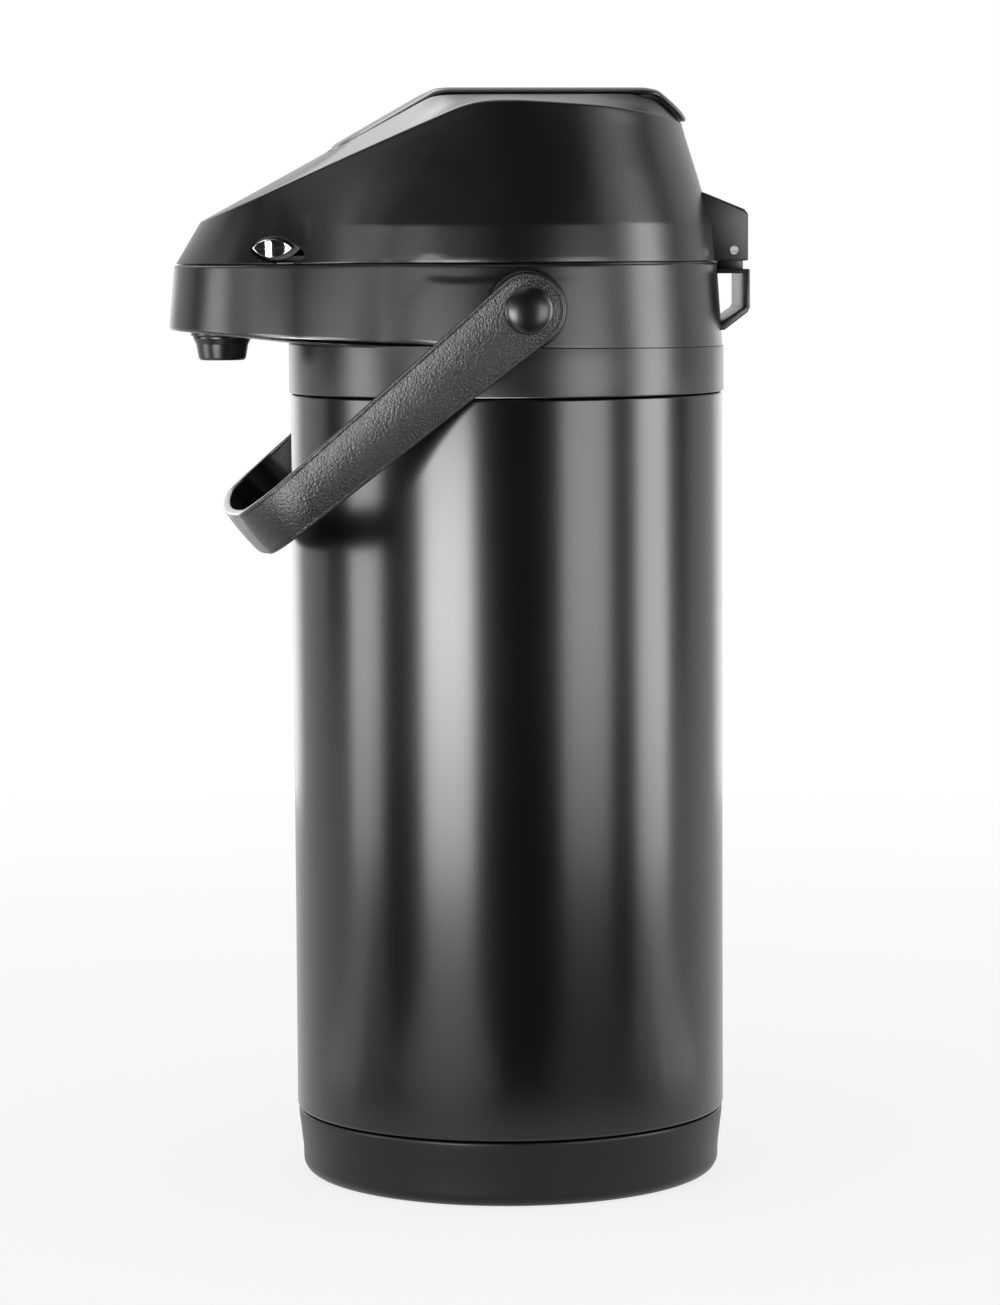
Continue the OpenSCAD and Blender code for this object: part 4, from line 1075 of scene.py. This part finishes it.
class POT_OT_stage(bpy.types.Operator):
    """Makes the floor, the studio light and the camera"""

    bl_idname = "pot.stage"
    bl_label = "Stage"

    def execute(self, context):
        scene = context.scene
        self.floor(scene)
        self.world(scene)
        self.lights(scene)
        self.camera(scene)
        scene.view_settings.view_transform = "Standard"
        return {"FINISHED"}

    def floor(self, scene):
        """Pale floor that keeps the shadow near the pot and turns white further out."""
        mesh = bpy.data.meshes.new("Floor")
        mesh.from_pydata([(-8, -8, 0), (8, -8, 0), (8, 8, 0), (-8, 8, 0)], [], [(0, 1, 2, 3)])
        plane = bpy.data.objects.new("Floor", mesh)
        scene.collection.objects.link(plane)
        material, nodes, shader, link = plain_material("pale floor")
        shader.inputs["Base Color"].default_value = (0.86, 0.86, 0.86, 1)
        shader.inputs["Roughness"].default_value = 0.9
        shader.inputs["Specular IOR Level"].default_value = 0.0
        glow = nodes.new("ShaderNodeEmission")
        glow.inputs["Strength"].default_value = 1.0
        far = nodes.new("ShaderNodeVectorMath")
        far.operation = "LENGTH"
        link(nodes.new("ShaderNodeTexCoord").outputs["Object"], far.inputs[0])
        share = nodes.new("ShaderNodeMapRange")
        share.interpolation_type = "SMOOTHSTEP"
        for label, value in (("From Min", 0.15), ("From Max", 1.3), ("To Min", 0.8), ("To Max", 1.0)):
            share.inputs[label].default_value = value
        link(far.outputs["Value"], share.inputs["Value"])
        part = self.joined(nodes, link, "MULTIPLY", self.seen(nodes, link), share.outputs["Result"])
        self.mixed(nodes, link, part, shader.outputs["BSDF"], glow.outputs["Emission"], "Material Output")
        mesh.materials.append(material)

    def joined(self, nodes, link, operation, first, second):
        """Two values put together by a math node."""
        node = nodes.new("ShaderNodeMath")
        node.operation = operation
        link(first, node.inputs[0])
        link(second, node.inputs[1])
        return node.outputs[0]

    def mixed(self, nodes, link, share, first, second, end):
        """Leads a mix of two shaders to the surface of an output node."""
        mix = nodes.new("ShaderNodeMixShader")
        link(share, mix.inputs["Fac"])
        link(first, mix.inputs[1])
        link(second, mix.inputs[2])
        link(mix.outputs["Shader"], nodes[end].inputs["Surface"])

    def seen(self, nodes, link):
        """1 for what the camera, mirrors and glass see."""
        path = nodes.new("ShaderNodeLightPath").outputs
        first = self.joined(nodes, link, "MAXIMUM", path["Is Camera Ray"], path["Is Glossy Ray"])
        return self.joined(nodes, link, "MAXIMUM", first, path["Is Transmission Ray"])

    def world(self, scene):
        """Grey light all round, behind a white that the camera and the mirrors see."""
        world = bpy.data.worlds.new("Studio")
        scene.world = world
        world.use_nodes = True
        nodes, link = world.node_tree.nodes, world.node_tree.links.new
        soft, white = nodes["Background"], nodes.new("ShaderNodeBackground")
        for node, grey, strength in ((soft, 0.9, 0.75), (white, 1.0, 1.0)):
            node.inputs["Color"].default_value = (grey, grey, grey, 1)
            node.inputs["Strength"].default_value = strength
        self.mixed(nodes, link, self.seen(nodes, link), soft.outputs["Background"],
                   white.outputs["Background"], "World Output")

    AZIMUTH = math.radians(-5.3)
    LIGHTS = (
        # name, turn, distance, width, low end, high end, brightness
        ("StripLeft", -30.0, 0.673, 0.31, 0.11, 0.30, 18.0),
        ("StripLeftLow", -30.0, 0.673, 0.31, 0.02, 0.11, 12.0),
        ("SideLeft", -77.0, 0.66, 0.23, 0.11, 0.42, 7.4),
        ("SideLeftLow", -77.0, 0.66, 0.23, 0.03, 0.11, 5.0),
        ("StripRight", 40.0, 0.672, 0.3, 0.11, 0.40, 6.8),
        ("StripRightLow", 40.0, 0.672, 0.3, 0.03, 0.11, 4.2),
        ("SideRight", 79.0, 0.66, 0.24, 0.11, 0.55, 9.4),
        ("SideRightLow", 79.0, 0.66, 0.24, 0.02, 0.11, 7.0),
        ("HighLeft", -50.0, 0.8, 0.34, 0.36, 0.57, 2.7),
        ("HighRight", 70.0, 0.8, 0.4, 0.56, 0.85, 1.6),
        ("RimLeft", -153.0, 1.0, 0.4, 0.01, 0.4, 1.2),
        ("RimRight", 153.0, 1.0, 0.4, 0.01, 0.4, 0.8),
    )

    FLOOR_LIGHTS = (
        # name, turn, width, brightness
        ("FootLeft", -30.0, 0.2, 1.2), ("FootSideLeft", -77.0, 0.2, 0.6), ("FootRight", 40.0, 0.2, 0.3),
        ("FootSideRight", 79.0, 0.2, 0.9),
    )

    def toward(self, turn, distance, height):
        """A place round the pot: turn is in degrees, to the right as the camera sees it."""
        a = self.AZIMUTH + math.radians(turn)
        return Vector((math.cos(a) * distance, math.sin(a) * distance, height))

    def lights(self, scene):
        """Upright strips that the finishes mirror, in front of a dark surround, and a soft light above."""
        for name, turn, distance, width, low, high, level in self.LIGHTS:
            height = (low + high) / 2
            place = self.toward(turn, distance, height)
            self.panel(scene, name, place, (0, 0, height), width, high - low, level)
        self.panel(scene, "Overhead", Vector((-0.75, -0.38, 1.28)), (0, -0.04, 0.37), 0.75, 0.75, 4.0)
        self.panel(scene, "Front", self.toward(-95, 0.9, 1.15), (0, -0.08, 0.34), 0.7, 0.6, 1.9)
        for name, turn, width, level in self.FLOOR_LIGHTS:
            foot = self.toward(turn, 0.43, 0.005)
            glow = self.panel(scene, name, foot, foot + Vector((0, 0, 1)), width, 0.46, level)
            glow.rotation_euler = (math.pi, 0, self.AZIMUTH + math.radians(turn) + math.pi / 2)
        place = self.toward(-24, 0.48, 0.445)
        self.only(self.panel(scene, "Glint", place, (0.083, -0.048, 0.268), 0.2, 0.2, 1.5), "HandleStrap")
        place = self.toward(-20, 0.28, 0.006)
        self.only(self.panel(scene, "LipLine", place, (0.075, -0.06, 0.297), 0.42, 0.42, 6.0), "Collar")
        top = self.panel(scene, "Top", self.toward(-30, 0.8, 1.7), (0, 0, 0.2), 1.0, 1.0, 1.2)
        top.visible_diffuse = True
        self.surround()

    def only(self, light, name):
        """Narrows a light and keeps its gleam to one piece."""
        pieces = bpy.data.collections.new(light.name + " on")
        pieces.objects.link(bpy.data.objects[name])
        light.light_linking.receiver_collection = pieces
        light.data.spread = math.radians(40)

    def panel(self, scene, name, place, aim, width, tall, level):
        """A flat light panel of even brightness that only mirroring finishes catch."""
        lamp = bpy.data.lights.new(name, "AREA")
        lamp.shape = "RECTANGLE"
        lamp.size, lamp.size_y = width, tall
        lamp.energy = level * math.pi * width * tall
        light = bpy.data.objects.new(name, lamp)
        scene.collection.objects.link(light)
        light.location = place
        light.rotation_euler = (Vector(aim) - place).to_track_quat("-Z", "Y").to_euler()
        light.visible_camera = False
        light.visible_diffuse = False
        return light

    def surround(self):
        """A dark curtain in front of the pot that only reflections see, with a dark mat at its foot."""
        stock = Stock()
        curtain, mat = ((2.6, 0.004), (2.6, 1.6), (1.9, 2.4), (0.9, 2.8)), ((0.19, 0.003), (2.6, 0.003))
        for reach, rows in ((110, curtain), (76, mat)):
            turns = np.radians(np.linspace(-reach, reach, 57)) + self.AZIMUTH
            net = [[(r * math.cos(a), r * math.sin(a), z) for a in turns] for r, z in rows]
            stock.sheet(np.array(net) / MM, loop_rows=False, loop_cols=False)
        dark = new_form("DarkCurtain", stock, 30.0)
        material, _, shader, _ = plain_material("dark curtain")
        shader.inputs["Base Color"].default_value = (0.02, 0.02, 0.02, 1)
        shader.inputs["Specular IOR Level"].default_value = 0.0
        shader.inputs["Roughness"].default_value = 1.0
        dark.data.materials.append(material)
        dark.visible_camera = dark.visible_diffuse = False
        dark.visible_shadow = dark.visible_transmission = False

    FOCAL, FRAME_TALL = 4490.0, 1305.0
    DISTANCE, HEIGHT = 1.587, 0.331
    PITCH, YAW, ROLL = math.radians(5.274), math.radians(0.101), math.radians(-0.343)

    def camera(self, scene):
        """A long lens beside the pot; its focal length and frame are in pixels of the full picture."""
        data = bpy.data.cameras.new("Camera")
        camera = bpy.data.objects.new("Camera", data)
        scene.collection.objects.link(camera)
        scene.camera = camera
        data.sensor_fit = "AUTO"
        data.sensor_width = 36.0
        data.lens = self.FOCAL * data.sensor_width / self.FRAME_TALL
        data.clip_start, data.clip_end = 0.05, 50.0
        yaw = self.AZIMUTH + math.pi + self.YAW
        flat = math.cos(self.PITCH)
        look = Vector((math.cos(yaw) * flat, math.sin(yaw) * flat, -math.sin(self.PITCH)))
        turn = look.to_track_quat("-Z", "Y").to_matrix() @ Matrix.Rotation(self.ROLL, 3, "Z")
        place = self.toward(0.0, self.DISTANCE, self.HEIGHT)
        camera.matrix_world = Matrix.Translation(place) @ turn.to_4x4()


class POT_PT_panel(bpy.types.Panel):
    """Lists the pot's pieces, sizes and colours"""

    bl_idname = "POT_PT_panel"
    bl_label = "Pump pot"
    bl_space_type = "VIEW_3D"
    bl_region_type = "UI"
    bl_category = "Pump pot"

    def draw(self, context):
        for group in (context.scene.pot_sizes, context.scene.pot_colours):
            box = self.layout.box()
            for name in group.__annotations__:
                box.prop(group, name)
        for operator in STEPS:
            self.layout.operator(operator.bl_idname)


STEPS = (POT_OT_finishes, POT_OT_body, POT_OT_collar, POT_OT_lid, POT_OT_buttons, POT_OT_press_plate,
         POT_OT_handle, POT_OT_spout, POT_OT_pump, POT_OT_inside, POT_OT_stage)
CLASSES = (PotSizes, PotColours, *STEPS, POT_PT_panel)


def register():
    for cls in CLASSES:
        bpy.utils.register_class(cls)
    bpy.types.Scene.pot_sizes = bpy.props.PointerProperty(type=PotSizes)
    bpy.types.Scene.pot_colours = bpy.props.PointerProperty(type=PotColours)


def unregister():
    del bpy.types.Scene.pot_colours
    del bpy.types.Scene.pot_sizes
    for cls in reversed(CLASSES):
        bpy.utils.unregister_class(cls)


def main():
    """Builds everything in order."""
    register()
    bpy.ops.pot.finishes()
    bpy.ops.pot.body()
    bpy.ops.pot.collar()
    bpy.ops.pot.lid()
    bpy.ops.pot.buttons()
    bpy.ops.pot.press_plate()
    bpy.ops.pot.handle()
    bpy.ops.pot.spout()
    bpy.ops.pot.pump()
    bpy.ops.pot.inside()
    bpy.ops.pot.stage()


if __name__ == "__main__":
    main()
